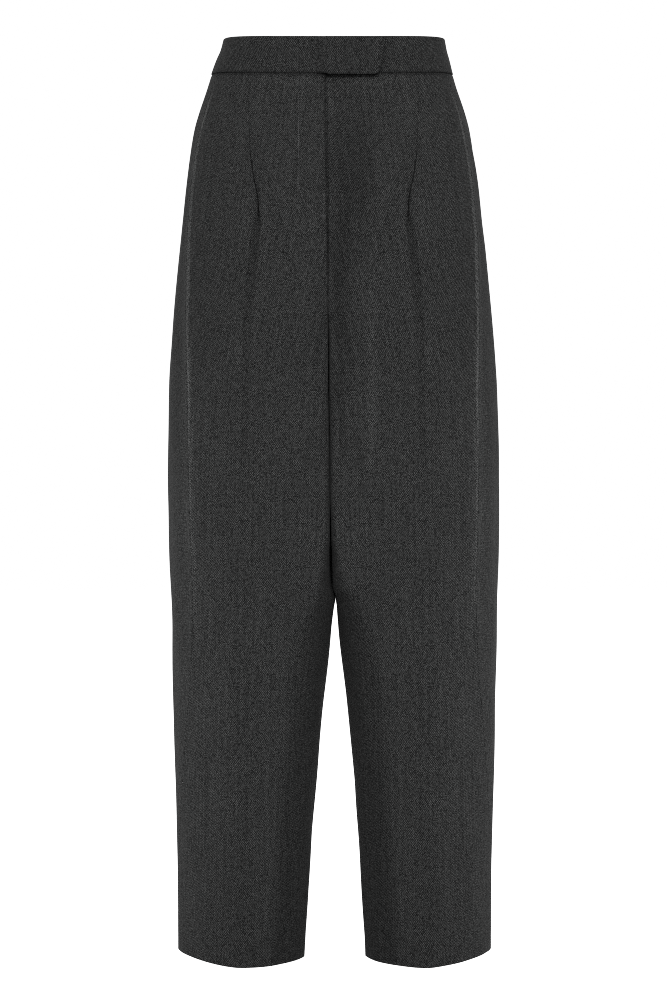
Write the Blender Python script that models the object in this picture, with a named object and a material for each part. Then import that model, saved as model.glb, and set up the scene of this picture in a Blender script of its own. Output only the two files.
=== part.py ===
"""Pleated dress trousers, hollow and filled out as if worn, with nobody inside.

Millimetres are used throughout and turned into metres when a mesh is made.
x runs across (+x is the wearer's left), y runs from front (-y) to back (+y), and the
origin is the centre of the waist opening, where a wearer's waist holds the garment.
"drop" is the distance down from the waist.  Each half of the garment is worked out in its
own coordinates, with x growing outwards, and then mirrored to its side.
"""
import math

import bmesh
import bpy
import numpy as np

MM = 0.001

# ---------------------------------------------------------------- driving sizes (mm)
CLOTH = 1.2                # one layer of wool cloth
SEAM_GAP = 0.3             # between neighbouring pieces
BAND_CLOTH = 2.4           # waistband: two layers and interlining
BAND_PROUD = 0.9           # the band stands this far out from the panels
BAND_TOP = -3.0            # drops at the side of the waist
BAND_BOTTOM = 37.2
CROTCH_TOP = 268.0         # the crotch curve leaves the centre seams here
FORK = 328.0               # the four panels meet here
KNEE = 650.0               # the knee line
HEM = 1042.0
WAIST_TILT = 0.1           # the waistline rises towards the back ...
WAIST_DIP = 0.00065        # ... and dips at the centre front
WAIST_FADE = (40.0, 190.0)  # rows are level again below these drops
HEM_TILT = 4.3             # the hem rises outwards across each leg ...
HEM_CURVE = 1.7            # ... and a little towards both sides
HEM_HALF = 72.0            # half a leg's width there
HEM_FADE = 900.0           # rows start to follow the hem at this drop
LEG_BOW = 6.5              # the touching inner legs bow to one side by this much
LEG_BOW_TOP = (CROTCH_TOP, FORK + 20)  # drops over which the bow grows ...
LEG_BOW_FOOT = (600.0, 650.0)          # ... and dies out
LEG_BOW_REACH = (60.0, 60.0)           # its width, and its depth from the middle
TAB_REACH = 50.0           # waistband tab past the middle of the body
TAB_LEAN = 6.0             # its end leans out by this much at the top
TAB_LIFT = 4.2             # its face above the band that it laps over
TAB_DROP = 1.6             # its lower edge below the band's
TAB_CORNER = 10.0          # radius of its lower corner
TAB_RISE = 34.0            # length over which the band climbs to the tab
FLY_UNDERLAP = 4.0         # the left front reaches under the right by this much ...
FLY_UNDERLAP_FADE = (164.0, 182.0)  # ... down to these drops
FLY_UNDERLAP_SPREAD = 30.0  # width of cloth that is carried over
FLY_STEP = 1.6             # it lies this far inside the right front ...
FLY_STEP_FADE = (186.0, 206.0)      # ... down to the end of the fly
FLY_STEP_SPREAD = (6.0, 34.0)       # and comes level again over this width
TUCK_MOUTH = 0.7           # gap between the two sides of a sewn pleat

# ---------------------------------------------------------------- tables (mm)
# The garment's outline from the front.
OUTLINE = {
    "columns": ("drop", "half_width", "sway"),
    "rows": (
        (-3, 125.4, 0.8), (10, 128.3, 0.2), (20, 131.9, -0.6), (37, 137.2, -1.5),
        (49, 140.9, -1.7), (65, 146.2, -1.7), (83, 151.8, -1.7), (100, 156.4, -1.7),
        (134, 162.4, -1.7), (168, 167.0, -1.7), (203, 170.8, -1.6), (237, 174.5, -1.2),
        (288, 179.2, -1.1), (340, 183.6, -1.0), (391, 187.0, -0.7), (443, 188.4, -0.2),
        (512, 188.8, 0.2), (580, 187.8, 0.6), (632, 186.5, 0.9), (752, 184.2, 1.4),
        (889, 180.8, 1.4), (958, 179.2, 1.2), (1044, 178.8, 1.2),
    ),
}
# The same from the side, with the places of the front's and back's crests across each half.
DEPTH = {
    "columns": ("drop", "front", "back", "side", "front_crest", "back_crest", "inseam"),
    "rows": (
        (-3, -95, 90, 0, 22, 26, 15), (37, -100, 95, 0, 24, 30, 15),
        (65, -106, 103, 0, 28, 36, 15), (100, -111, 115, 1, 32, 44, 15),
        (160, -117, 131, 3, 40, 56, 15), (210, -119, 138, 4, 48, 64, 15),
        (270, -120, 137, 5, 58, 74, 15), (328, -119, 130, 5, 72, 84, 15),
        (400, -117, 116, 4, 86, 92, 12), (500, -112, 105, 3, 92, 94, 8),
        (620, -103, 98, 2, 94, 95, 4), (750, -94, 91, 1, 99, 99, 2),
        (900, -84, 84, 0, 104, 104, 0), (1044, -77, 77, 0, 107, 107, 0),
    ),
}
# The line between the halves, how far each half stands back from it, and how square (high)
# or pointed (low) a leg's outline is on its inner and outer side.
PARTING = {
    "columns": ("drop", "middle", "half_gap", "inner_power", "outer_power"),
    "rows": (
        (-3, -9.7, 0.15, 30, 2.2), (212, -7.1, 0.15, 30, 2.3), (330, -5.8, 0.15, 30, 2.2),
        (345, -5.6, 0.5, 30, 2.2), (414, -4.9, 0.5, 26, 2.1), (523, -3.9, 0.5, 20, 2.0),
        (575, -3.2, 0.6, 12, 1.9), (612, -2.2, 0.6, 5, 1.9), (640, 1.6, 0.7, 2.6, 1.9),
        (652, 1.9, 1.9, 2.25, 1.9), (683, 1.9, 5.4, 2.1, 1.85), (752, 2.2, 13.2, 1.9, 1.8),
        (820, 2.2, 20.0, 1.8, 1.7),
        (889, 1.9, 25.2, 1.7, 1.6), (958, 1.7, 29.7, 1.6, 1.5), (1044, 1.7, 35.0, 1.5, 1.5),
    ),
}
# How far the side seam lies in front of the garment's widest line, measured across.
SIDE_SEAM = {
    "columns": ("drop", "inset"),
    "rows": ((-3, 6.5), (150, 6.5), (225, 7.8), (267, 10.3), (316, 14.4), (409, 22.0),
             (500, 25.5), (614, 27.0), (700, 23.5), (780, 15.0), (866, 6.5), (935, 2.0),
             (1044, 0.5)),
}
# A front's pleat: sewn shut (1) down to the release, then open (0) and dying out.
PLEAT = {
    "columns": ("drop", "across", "depth", "reach", "sewn"),
    "rows": ((37, 94, 9, 6, 1), (100, 92.8, 9, 6, 1), (135, 91.5, 9, 6, 1),
             (165, 88, 9, 6, 1), (200, 82.5, 9, 6, 1), (212, 82, 7.5, 9, 0.5),
             (224, 83, 6, 15, 0), (256, 86.5, 4.6, 22, 0), (285, 90, 4.2, 26, 0),
             (330, 92, 3.8, 28, 0), (400, 90, 3.4, 30, 0), (470, 80, 2.6, 32, 0),
             (570, 77, 0, 32, 0), (1044, 95, 0, 32, 0)),
}
# A back's dart, the same way; it runs out to nothing at its point.
DART = {
    "columns": ("drop", "across", "depth", "reach", "sewn"),
    "rows": ((30, 72, 7, 6, 1), (100, 75, 4, 6, 1), (135, 77, 2, 7, 1),
             (158, 78, 0.8, 12, 0), (185, 79, 0, 22, 0), (330, 84, 0, 38, 0),
             (1044, 95, 0, 34, 0)),
}
# Soft folds of the hanging cloth: troughs, or ridges where the depth is negative.
FOLDS = {
    "columns": ("side", "face", "top", "bottom", "across_top", "across_bottom", "reach",
                "depth"),
    "rows": (
        (1, "front", 215, 440, 9, 11, 15, 2.0), (1, "front", 235, 510, 44, 42, 18, -1.6),
        (-1, "back", 300, 560, 40, 96, 30, 3.0), (1, "back", 310, 620, 48, 92, 32, 3.4),
        (-1, "back", 430, 800, 130, 112, 28, 2.6), (1, "back", 470, 860, 128, 120, 26, 2.2),
        (-1, "back", 250, 420, 120, 104, 26, -1.8), (1, "back", 240, 400, 126, 112, 26, -1.6),
    ),
}
PANEL_DROPS = (
    BAND_BOTTOM + SEAM_GAP, 52, 72, 95, 118, 140, 162, 184, 202, 213, 224, 240, CROTCH_TOP,
    "crotch", FORK, 345, 372, 405, 442, 480, 520, 556, 586, 606, 626, KNEE, 690, 750, 820,
    895, 970, HEM,
)
# A leg panel is one piece of cloth.  It is made as three lengths, which meet at the fork's
# line and at the knee line, so that the collision pieces of each can follow its bend.
LENGTHS = ("upper", "middle", "lower")
CROTCH_STEPS = 5           # rows from the crotch curve's top to the fork
# Where a row's points lie, as fractions of each stretch from seam to fold to seam.
FRONT_EDGE, FRONT_MIDDLE, FRONT_SIDE = (0, 0.45, 0.8), (0, 0.08, 0.28, 0.62), (0.2, 0.45, 0.72, 1)
BACK_SEAM, BACK_SIDE, BACK_MIDDLE, BACK_EDGE = (0, 0.5), (0, 0.3, 0.65), (0.45, 0.8, 1), (0.3, 1)
EDGE_LEAST = 12.0          # the stretch beside a centre seam or inseam is at least this long
FOLD_FACING = (10.0, 50.0)  # soft folds die out this near the middle of the depth


# ---------------------------------------------------------------- reading the tables
def smooth_column(table, name, drop):
    """A table's column at any drop: a cubic through its rows that never overshoots."""
    rows = np.array(table["rows"], dtype=float)
    xs, ys = rows[:, 0], rows[:, table["columns"].index(name)]
    step = np.diff(xs)
    slope = np.diff(ys) / step
    tangent = np.zeros_like(ys)
    tangent[0], tangent[-1] = slope[0], slope[-1]
    for i in range(1, len(xs) - 1):
        if slope[i - 1] * slope[i] > 0:
            before = 2 * step[i] + step[i - 1]
            after = step[i] + 2 * step[i - 1]
            tangent[i] = (before + after) / (before / slope[i - 1] + after / slope[i])
    drop = np.clip(drop, xs[0], xs[-1])
    i = np.clip(np.searchsorted(xs, drop) - 1, 0, len(step) - 1)
    t = (drop - xs[i]) / step[i]
    rise = ys[i + 1] - ys[i]
    return (ys[i] + rise * t * t * (3 - 2 * t)
            + step[i] * (tangent[i] * t * (1 - t) ** 2 - tangent[i + 1] * t * t * (1 - t)))


def ease(x, low, high):
    """0 below low, 1 above high, and a smooth rise between."""
    t = np.clip((x - low) / (high - low), 0.0, 1.0)
    return t * t * (3 - 2 * t)


def panel_drops():
    """The drops of a panel's rows, with the crotch curve's own rows put in."""
    drops = []
    for entry in PANEL_DROPS:
        if entry == "crotch":
            angles = [math.pi / 2 * k / CROTCH_STEPS for k in range(1, CROTCH_STEPS)]
            drops += [CROTCH_TOP + (FORK - CROTCH_TOP) * math.sin(a) for a in angles]
        else:
            drops.append(float(entry))
    return drops


# ---------------------------------------------------------------- the outline of one half
def inner_edge_y(drop, crest_y):
    """Where a panel's inner edge lies: on the crest, down the crotch curve, at the inseam."""
    inseam = smooth_column(DEPTH, "inseam", drop)
    if drop <= CROTCH_TOP:
        return crest_y
    if drop >= FORK:
        return inseam
    sine = (drop - CROTCH_TOP) / (FORK - CROTCH_TOP)
    return crest_y + (inseam - crest_y) * (1 - math.sqrt(1 - sine * sine))


def rounded(quarter, power):
    """Unit quarter of a superellipse by direction: 0 at (1, 0), 1 at (0, 1)."""
    c = np.cos(quarter * math.pi / 2)
    s = np.sin(quarter * math.pi / 2)
    radius = (c ** power + s ** power) ** (-1 / power)
    return c * radius, s * radius


def outline(side, drop, q, inset=0.0):
    """Points of a half's level outline, as two arrays.

    q runs 0 to 1 from the inner edge to the front crest, to 2 at the side, to 3 at the back
    crest and to 4 at the inner edge again.  inset moves the whole outline in by a wall.
    """
    q = np.asarray(q, dtype=float)
    half = {name: smooth_column(DEPTH, name, drop) for name in DEPTH["columns"][1:]}
    sway = side * smooth_column(OUTLINE, "sway", drop)
    wide = smooth_column(OUTLINE, "half_width", drop) + sway - inset
    inner = (smooth_column(PARTING, "half_gap", drop)
             + side * smooth_column(PARTING, "middle", drop))
    inner_power = smooth_column(PARTING, "inner_power", drop)
    outer_power = smooth_column(PARTING, "outer_power", drop)
    front, back = half["front"] + inset, half["back"] - inset
    front_edge = inner_edge_y(drop, half["front"])
    back_edge = inner_edge_y(drop, half["back"])
    front_inner = inner + min(inset, front_edge - half["front"])
    back_inner = inner + min(inset, half["back"] - back_edge)
    front_edge, back_edge = max(front_edge, front), min(back_edge, back)
    front_crest = half["front_crest"] + sway
    back_crest = half["back_crest"] + sway

    part = np.clip(np.floor(q), 0, 3).astype(int)
    a_in, b_in = rounded(q - part, inner_power)
    a_out, b_out = rounded(q - part, outer_power)
    x = np.choose(part, (
        front_crest - (front_crest - front_inner) * a_in,
        front_crest + (wide - front_crest) * b_out,
        back_crest + (wide - back_crest) * a_out,
        back_crest - (back_crest - back_inner) * b_in))
    y = np.choose(part, (
        front_edge - (front_edge - front) * b_in,
        half["side"] + (front - half["side"]) * a_out,
        half["side"] + (back - half["side"]) * b_out,
        back_edge + (back - back_edge) * a_in))
    return x, y


class Tape:
    """A half's outline at one drop, measured along its length like a tape."""

    def __init__(self, side, drop):
        self.q = np.linspace(0.0, 4.0, 1601)
        self.x, self.y = outline(side, drop, self.q)
        step = np.hypot(np.diff(self.x), np.diff(self.y))
        self.length = np.concatenate(([0.0], np.cumsum(step)))

    def at_q(self, q):
        """Length along the tape at parameter q."""
        return float(np.interp(q, self.q, self.length))

    def to_q(self, length):
        """Parameter q at lengths along the tape."""
        return np.interp(length, self.length + 1e-7 * self.q, self.q)

    def at_front_x(self, x):
        """Length along the tape where the front is x from the middle."""
        front = self.q <= 2.0
        return float(np.interp(x, self.x[front], self.length[front]))

    def at_back_x(self, x):
        """Length along the tape where the back is x from the middle."""
        back = (self.q >= 2.0) & (self.q <= 3.5)
        return float(np.interp(-x, -self.x[back], self.length[back]))

    def inward(self, q):
        """Unit normals into the garment at parameters q."""
        near = 0.004
        low, high = np.clip(q - near, 0, 4), np.clip(q + near, 0, 4)
        dx = np.interp(high, self.q, self.x) - np.interp(low, self.q, self.x)
        dy = np.interp(high, self.q, self.y) - np.interp(low, self.q, self.y)
        size = np.maximum(np.hypot(dx, dy), 1e-9)
        return -dy / size, dx / size


# ---------------------------------------------------------------- pleats and darts
SEWN_PLACE = (-1.0, -0.4, None, None, 0.0, None, None, 0.4, 1.0)
SEWN_DEPTH = (0.0, 0.0, 0.0, 1.0, 1.02, 1.0, 0.0, 0.0, 0.0)
OPEN_PLACE = (-1.0, -0.70, -0.42, -0.2, 0.0, 0.2, 0.42, 0.70, 1.0)
WALL_SHIFT = (0, 0, -1, -1, 0, 1, 1, 0, 0)


def fold_profile(table, drop):
    """Nine stations across a fold: place along the cloth, depth, and the inner wall's shift.

    Sewn shut, it is a narrow deep slot; released, it is a soft cosine valley.
    """
    depth, reach, sewn = (smooth_column(table, name, drop) for name in ("depth", "reach", "sewn"))
    lip = TUCK_MOUTH / 2
    closed = np.array([math.copysign(lip, k - 4) if place is None else place * reach
                       for k, place in enumerate(SEWN_PLACE)])
    opened = np.array(OPEN_PLACE) * reach
    valley = (1 + np.cos(math.pi * np.array(OPEN_PLACE))) / 2
    place = sewn * closed + (1 - sewn) * opened
    sunk = depth * (sewn * np.array(SEWN_DEPTH) + (1 - sewn) * valley)
    return place, sunk, sewn * CLOTH * np.array(WALL_SHIFT)


def drape(side, face, drop, x):
    """How deep the hanging cloth's soft folds are at points across one face of a row."""
    sunk = np.zeros_like(x)
    for on_side, on_face, top, bottom, across_top, across_bottom, reach, depth in FOLDS["rows"]:
        if (on_side, on_face) == (side, face) and top < drop < bottom:
            along = (drop - top) / (bottom - top)
            centre = across_top + (across_bottom - across_top) * along
            near = np.clip(np.abs(x - centre) / reach, 0, 1)
            sunk += depth * math.sin(math.pi * along) * (1 + np.cos(math.pi * near)) / 2
    return sunk


# ---------------------------------------------------------------- leg panels
def spread(start, end, fractions):
    """Lengths between start and end at the given fractions."""
    return start + (end - start) * np.array(fractions)


def front_stations(tape, drop):
    """Lengths along a front panel's row, the fold's depth there and the wall's shift."""
    start = SEAM_GAP / 2 if drop >= FORK else 0.0
    corner = max(tape.at_q(0.5), EDGE_LEAST)
    inset = smooth_column(SIDE_SEAM, "inset", drop)
    end = tape.at_front_x(tape.x.max() - inset) - SEAM_GAP / 2
    fold = tape.at_front_x(smooth_column(PLEAT, "across", drop))
    place, sunk, shift = fold_profile(PLEAT, drop)
    before = spread(start, corner, FRONT_EDGE)
    middle = spread(corner, fold + place[0], FRONT_MIDDLE)
    after = spread(fold + place[-1], end, FRONT_SIDE)
    length = np.concatenate((before, middle, fold + place, after))
    lead, tail = len(before) + len(middle), len(after)
    return length, np.pad(sunk, (lead, tail)), np.pad(shift, (lead, tail))


def back_stations(tape, drop):
    """The same for a back panel, from the side seam to the centre back or inseam."""
    inset = smooth_column(SIDE_SEAM, "inset", drop)
    start = tape.at_front_x(tape.x.max() - inset) + SEAM_GAP / 2
    end = tape.length[-1] - (SEAM_GAP / 2 if drop >= FORK else 0.0)
    corner = min(tape.at_q(3.5), end - EDGE_LEAST)
    fold = tape.at_back_x(smooth_column(DART, "across", drop))
    place, sunk, shift = fold_profile(DART, drop)
    widest = tape.at_q(2.0)
    seam = spread(start, widest, BACK_SEAM)
    before = spread(widest, fold - place[-1], BACK_SIDE)
    middle = spread(fold + place[-1], corner, BACK_MIDDLE)
    after = spread(corner, end, BACK_EDGE)
    length = np.concatenate((seam, before, fold + place, middle, after))
    lead, tail = len(seam) + len(before), len(middle) + len(after)
    return length, np.pad(sunk, (lead, tail)), np.pad(shift, (lead, tail))


def fly_lap(side, drop, x, y):
    """The left front's edge, carried on under the right front and sunk behind it."""
    if side < 0:
        return x, y
    past_edge = x - x[0]
    reach = FLY_UNDERLAP * (1 - ease(drop, *FLY_UNDERLAP_FADE))
    sink = FLY_STEP * (1 - ease(drop, *FLY_STEP_FADE))
    return (x - reach * (1 - ease(past_edge, 0.0, FLY_UNDERLAP_SPREAD)),
            y + sink * (1 - ease(past_edge, *FLY_STEP_SPREAD)))


def leg_bow(side, drop, x, y):
    """Both legs' inner walls bow the same way where they touch, so nothing shows between."""
    touching = ease(drop, *LEG_BOW_TOP) * (1 - ease(drop, *LEG_BOW_FOOT))
    width, depth = LEG_BOW_REACH
    near = 1 - ease(x, 0.0, width)
    deep = (1 + np.cos(math.pi * np.clip(np.abs(y) / depth, 0.0, 1.0))) / 2
    return x + side * LEG_BOW * touching * near * deep


def level(side, drop, x, y):
    """Height of points of a row: the row's own drop, bent to the waistline and the hem."""
    waistline = WAIST_TILT * y - WAIST_DIP * y * y
    near_waist = 1 - ease(drop, *WAIST_FADE)
    across = (x - smooth_column(DEPTH, "front_crest", drop)) / HEM_HALF
    hem_rise = HEM_TILT * across + HEM_CURVE * across ** 2
    return -drop + near_waist * waistline + ease(drop, HEM_FADE, HEM) * hem_rise


def panel(side, face):
    """Outer and inner grids of one leg panel, in the garment's own axes."""
    outer, inner = [], []
    stations = {"front": front_stations, "back": back_stations}[face]
    for drop in panel_drops():
        tape = Tape(side, drop)
        length, sunk, shift = stations(tape, drop)
        for grid, q, inset in ((outer, tape.to_q(length), 0.0),
                               (inner, tape.to_q(length + shift), CLOTH)):
            nx, ny = tape.inward(q)
            x, y = outline(side, drop, q, inset)
            facing = ease(y if face == "back" else -y, *FOLD_FACING)
            inwards = sunk + facing * drape(side, face, drop, x)
            x, y = x + nx * inwards, y + ny * inwards
            if face == "front":
                x, y = fly_lap(side, drop, x, y)
            x = leg_bow(side, drop, x, y)
            grid.append(np.column_stack((side * x, y, level(side, drop, x, y))))
    return np.array(outer), np.array(inner)


# ---------------------------------------------------------------- waistband
BAND_LEVELS = (0.0, 0.06, 0.2, 0.6, 0.94, 1.0)       # fractions of its height, from below
BAND_ROUNDING = (0.35, 0.0, 0.0, 0.0, 0.0, 0.35)     # its edges are drawn in by this much
BAND_COLUMNS = 26
TAB_COLUMNS = 8
UNDER_END = 1.5            # the left band's end, past the middle line
TAB_START = 12.0           # the tab's own columns begin this far before the middle line
TAB_FLAT = 3.0             # the climb to the tab is over this far before the fly's edge
TAB_DROP_SPREAD = 14.0     # the tab's lower edge comes down over this width


def band_row(side, drop, height):
    """A band row from the centre back to the front end: its points and inward normals."""
    tape = Tape(side, drop)
    front_end = UNDER_END if side > 0 else TAB_START
    q = tape.to_q(np.linspace(tape.length[-1], front_end, BAND_COLUMNS))
    x, y = outline(side, drop, q)
    nx, ny = tape.inward(q)
    if side > 0:
        return x, y, nx, ny
    past_corner = max(TAB_CORNER - height, 0.0)
    cut = TAB_CORNER - math.sqrt(TAB_CORNER ** 2 - past_corner ** 2)
    lean = TAB_LEAN * height / (BAND_BOTTOM - BAND_TOP)
    across = np.linspace(-x[-1], TAB_REACH + lean - cut, TAB_COLUMNS + 1)[1:]
    left = Tape(1, drop)
    front = left.q <= 2.0
    tab_y = np.interp(across, left.x[front], left.y[front])
    return (np.append(x, -across), np.append(y, tab_y),
            np.append(nx, np.zeros(TAB_COLUMNS)), np.append(ny, np.ones(TAB_COLUMNS)))


def waistband(side):
    """Outer and inner grids of one half of the waistband; the right one ends in the tab."""
    outer, inner = [], []
    tall = BAND_BOTTOM - BAND_TOP
    for fraction, rounding in zip(BAND_LEVELS, BAND_ROUNDING):
        drop = BAND_BOTTOM - tall * fraction
        x, y, nx, ny = band_row(side, drop, tall * fraction)
        fly = smooth_column(PARTING, "middle", drop)
        over = (y < 0) if side < 0 else np.zeros(len(y))
        lift = TAB_LIFT * over * ease(side * x, fly - TAB_RISE, fly - TAB_FLAT)
        lower = TAB_DROP * over * ease(side * x, fly, fly + TAB_DROP_SPREAD) * (1 - fraction)
        for grid, out in ((outer, BAND_PROUD - rounding),
                          (inner, BAND_PROUD - BAND_CLOTH + rounding)):
            px, py = x - nx * (out + lift), y - ny * (out + lift)
            grid.append(np.column_stack((side * px, py, level(side, drop, px, py) - lower)))
    return np.array(outer)[::-1], np.array(inner)[::-1]


# ---------------------------------------------------------------- zip, hook and bar
ZIP_WIDTH = 24.0           # how far the tapes reach to the right of the fly's edge ...
ZIP_OVER = 3.0             # ... and to the left of it
ZIP_STEP = 5.0             # they step back behind the left front after two such widths
ZIP_ROWS = 8
ZIP_CENTRE = 9.0           # the chain's middle, to the right of the fly's edge
ZIP_TOP = 60.0
ZIP_BOTTOM = 196.0
ZIP_CLOTH = 1.0
CHAIN_HALF = 2.4
CHAIN_PROUD = 0.7
CHAIN_SLANT = 0.4
CHAIN_CLEAR = 2.0          # the chain shows from this far below the slider's pull
SLIDER = {"wide": 7.0, "tall": 8.0, "thick": 1.0, "clear": 0.4, "pull_wide": 5.0,
          "pull_tall": 18.0, "taper": 3.0, "corner": (1.6, 2.0)}
HOOK = {"wide": 11.0, "tall": 9.0, "plate": 0.6, "lip": 1.2, "at": 22.0}
BAR = {"wide": 1.4, "tall": 14.0}
LEAN_OVER = 5.0            # the front's slope is taken this far above and below a small part


def front_surface_y(drop):
    """How far forward the flat of the front lies at a drop."""
    return float(smooth_column(DEPTH, "front", drop))


def front_point(drop):
    """The y and z of the flat of the front at a drop."""
    y = front_surface_y(drop)
    return y, float(level(1, drop, 0.0, y))


def zip_tape():
    """The zip's tapes with the chain raised along them, behind the fly."""
    behind_left = FLY_STEP + CLOTH + SEAM_GAP
    behind_right = CLOTH + SEAM_GAP
    foot = CHAIN_HALF + CHAIN_SLANT
    places = (-ZIP_WIDTH, ZIP_STEP - ZIP_WIDTH, 2 * ZIP_STEP - ZIP_WIDTH, -ZIP_CENTRE - foot,
              -ZIP_CENTRE - CHAIN_HALF, CHAIN_HALF - ZIP_CENTRE, foot - ZIP_CENTRE,
              ZIP_OVER - ZIP_STEP, ZIP_OVER)
    chain = (0, 0, 0, 0, 1, 1, 0, 0, 0)
    seat = (behind_right, behind_right) + (behind_left,) * 7
    outer, inner = [], []
    for drop in np.linspace(ZIP_TOP, ZIP_BOTTOM, ZIP_ROWS):
        middle = float(smooth_column(PARTING, "middle", drop))
        chain_here = 1.0 if drop > ZIP_TOP + SLIDER["pull_tall"] + CHAIN_CLEAR else 0.0
        front_row, back_row = [], []
        for place, tooth, depth in zip(places, chain, seat):
            y = front_surface_y(drop) + depth
            z = float(level(1, drop, 0.0, y))
            front_row.append((middle + place, y - tooth * chain_here * CHAIN_PROUD, z))
            back_row.append((middle + place, y + ZIP_CLOTH, z))
        outer.append(front_row)
        inner.append(back_row)
    return np.array(outer), np.array(inner)


# ---------------------------------------------------------------- meshes
def add_object(name, mesh, material):
    """Put a mesh in the scene as a named object with one material."""
    obj = bpy.data.objects.new(name, mesh)
    bpy.context.scene.collection.objects.link(obj)
    mesh.materials.append(material)
    mesh.shade_smooth()
    mesh.set_sharp_from_angle(angle=math.radians(40))
    return obj


def shell(name, outer, inner, material):
    """A closed wall between two grids of points of the same size."""
    rows, cols = outer.shape[:2]
    points = np.concatenate((outer.reshape(-1, 3), inner.reshape(-1, 3))) * MM

    def number(layer, row, col):
        return layer * rows * cols + row * cols + col

    faces = []
    for row in range(rows - 1):
        for col in range(cols - 1):
            for layer in (0, 1):
                corners = [number(layer, row, col), number(layer, row + 1, col),
                           number(layer, row + 1, col + 1), number(layer, row, col + 1)]
                faces.append(corners if layer == 0 else corners[::-1])
    rim = [(row, 0) for row in range(rows)]
    rim += [(rows - 1, col) for col in range(1, cols)]
    rim += [(row, cols - 1) for row in range(rows - 2, -1, -1)]
    rim += [(0, col) for col in range(cols - 2, 0, -1)]
    for here, there in zip(rim, rim[1:] + rim[:1]):
        faces.append([number(0, *there), number(0, *here), number(1, *here), number(1, *there)])
    mesh = bpy.data.meshes.new(name)
    mesh.from_pydata(points.tolist(), [], faces)
    work = bmesh.new()
    work.from_mesh(mesh)
    bmesh.ops.recalc_face_normals(work, faces=work.faces)
    bmesh.ops.triangulate(work, faces=work.faces)
    work.to_mesh(mesh)
    work.free()
    return add_object(name, mesh, material)


def extruded(name, outline_points, along, distance, drop, material):
    """A closed solid: an outline carried a distance along an axis, then leaned to the front.

    The front of the garment isn't upright, so the solid is sheared to lie along it.
    """
    work = bmesh.new()
    face = work.faces.new([work.verts.new(np.array(point) * MM) for point in outline_points])
    far = bmesh.ops.extrude_face_region(work, geom=[face])["geom"]
    moved = [item for item in far if isinstance(item, bmesh.types.BMVert)]
    bmesh.ops.translate(work, verts=moved, vec=np.array(along) * distance * MM)
    above, below = front_point(drop - LEAN_OVER), front_point(drop + LEAN_OVER)
    slope = (above[0] - below[0]) / (above[1] - below[1])
    height = front_point(drop)[1] * MM
    for vert in work.verts:
        vert.co.y += slope * (vert.co.z - height)
    bmesh.ops.recalc_face_normals(work, faces=work.faces)
    mesh = bpy.data.meshes.new(name)
    work.to_mesh(mesh)
    work.free()
    return add_object(name, mesh, material)


def zip_slider(material):
    """The slider at the top of the chain, with its pull hanging down over it."""
    drop = ZIP_TOP + SLIDER["pull_tall"] / 2
    middle = float(smooth_column(PARTING, "middle", drop)) - ZIP_CENTRE
    front, height = front_point(drop)
    front += CLOTH + SLIDER["clear"]
    top = height + SLIDER["pull_tall"] / 2
    half_body, half_pull = SLIDER["wide"] / 2, SLIDER["pull_wide"] / 2
    body_low, pull_low = top - SLIDER["tall"], top - SLIDER["pull_tall"]
    cut, rise = SLIDER["corner"]
    half = [(half_body, top), (half_body, body_low + SLIDER["taper"]), (half_pull, body_low),
            (half_pull, pull_low + rise), (half_pull - cut, pull_low)]
    shape = [(middle - x, front, z) for x, z in half]
    shape += [(middle + x, front, z) for x, z in reversed(half)]
    extruded("zip_slider", shape, (0, 1, 0), SLIDER["thick"], drop, material)


def hook_and_bar(material):
    """The flat hook on the back of the tab, and the bar that its lip bears on."""
    drop = (BAND_TOP + BAND_BOTTOM) / 2
    face_y, height = front_point(drop)
    face_y -= BAND_PROUD
    plate_front = face_y - TAB_LIFT + BAND_CLOTH + SEAM_GAP
    plate_back = plate_front + HOOK["plate"]
    seat = face_y - SEAM_GAP
    left, right = HOOK["at"] - HOOK["wide"], HOOK["at"] + HOOK["lip"]
    hook = [(left, plate_front), (right, plate_front), (right, seat),
            (HOOK["at"], seat), (HOOK["at"], plate_back), (left, plate_back)]
    bar_right = HOOK["at"] - SEAM_GAP
    bar_left, bar_front = bar_right - BAR["wide"], plate_back + SEAM_GAP
    bar = [(bar_left, bar_front), (bar_right, bar_front), (bar_right, seat), (bar_left, seat)]
    for name, shape, tall in (("waist_hook", hook, HOOK["tall"]), ("waist_bar", bar, BAR["tall"])):
        base = [(x, y, height - tall / 2) for x, y in shape]
        extruded(name, base, (0, 0, 1), tall, drop, material)


def finish(name, colour, roughness, metallic):
    """A plain Principled material."""
    material = bpy.data.materials.new(name)
    material.use_nodes = True
    shader = material.node_tree.nodes["Principled BSDF"]
    shader.inputs["Base Color"].default_value = (*colour, 1.0)
    shader.inputs["Roughness"].default_value = roughness
    shader.inputs["Metallic"].default_value = metallic
    return material


def build():
    """Make every piece."""
    for obj in list(bpy.data.objects):
        bpy.data.objects.remove(obj, do_unlink=True)
    wool = finish("charcoal_wool", (0.031, 0.032, 0.032), 0.85, 0.0)
    tape_cloth = finish("zip_tape_cloth", (0.02, 0.02, 0.021), 0.8, 0.0)
    steel = finish("steel", (0.45, 0.45, 0.46), 0.35, 1.0)
    for word, side in (("right", -1), ("left", 1)):
        for face in ("front", "back"):
            outer, inner = panel(side, face)
            lines = [panel_drops().index(drop) for drop in (FORK, KNEE)]
            for part, top, foot in zip(LENGTHS, [0] + lines, lines + [len(outer) - 1]):
                walls = [grid[top:foot + 1].copy() for grid in (outer, inner)]
                for wall in walls:
                    wall[0, :, 2] -= SEAM_GAP * (top > 0)
                shell(f"{face}_{word}_{part}", *walls, wool)
        shell("waistband_" + word, *waistband(side), wool)
    shell("zip_tape", *zip_tape(), tape_cloth)
    zip_slider(steel)
    hook_and_bar(steel)


build()
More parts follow.
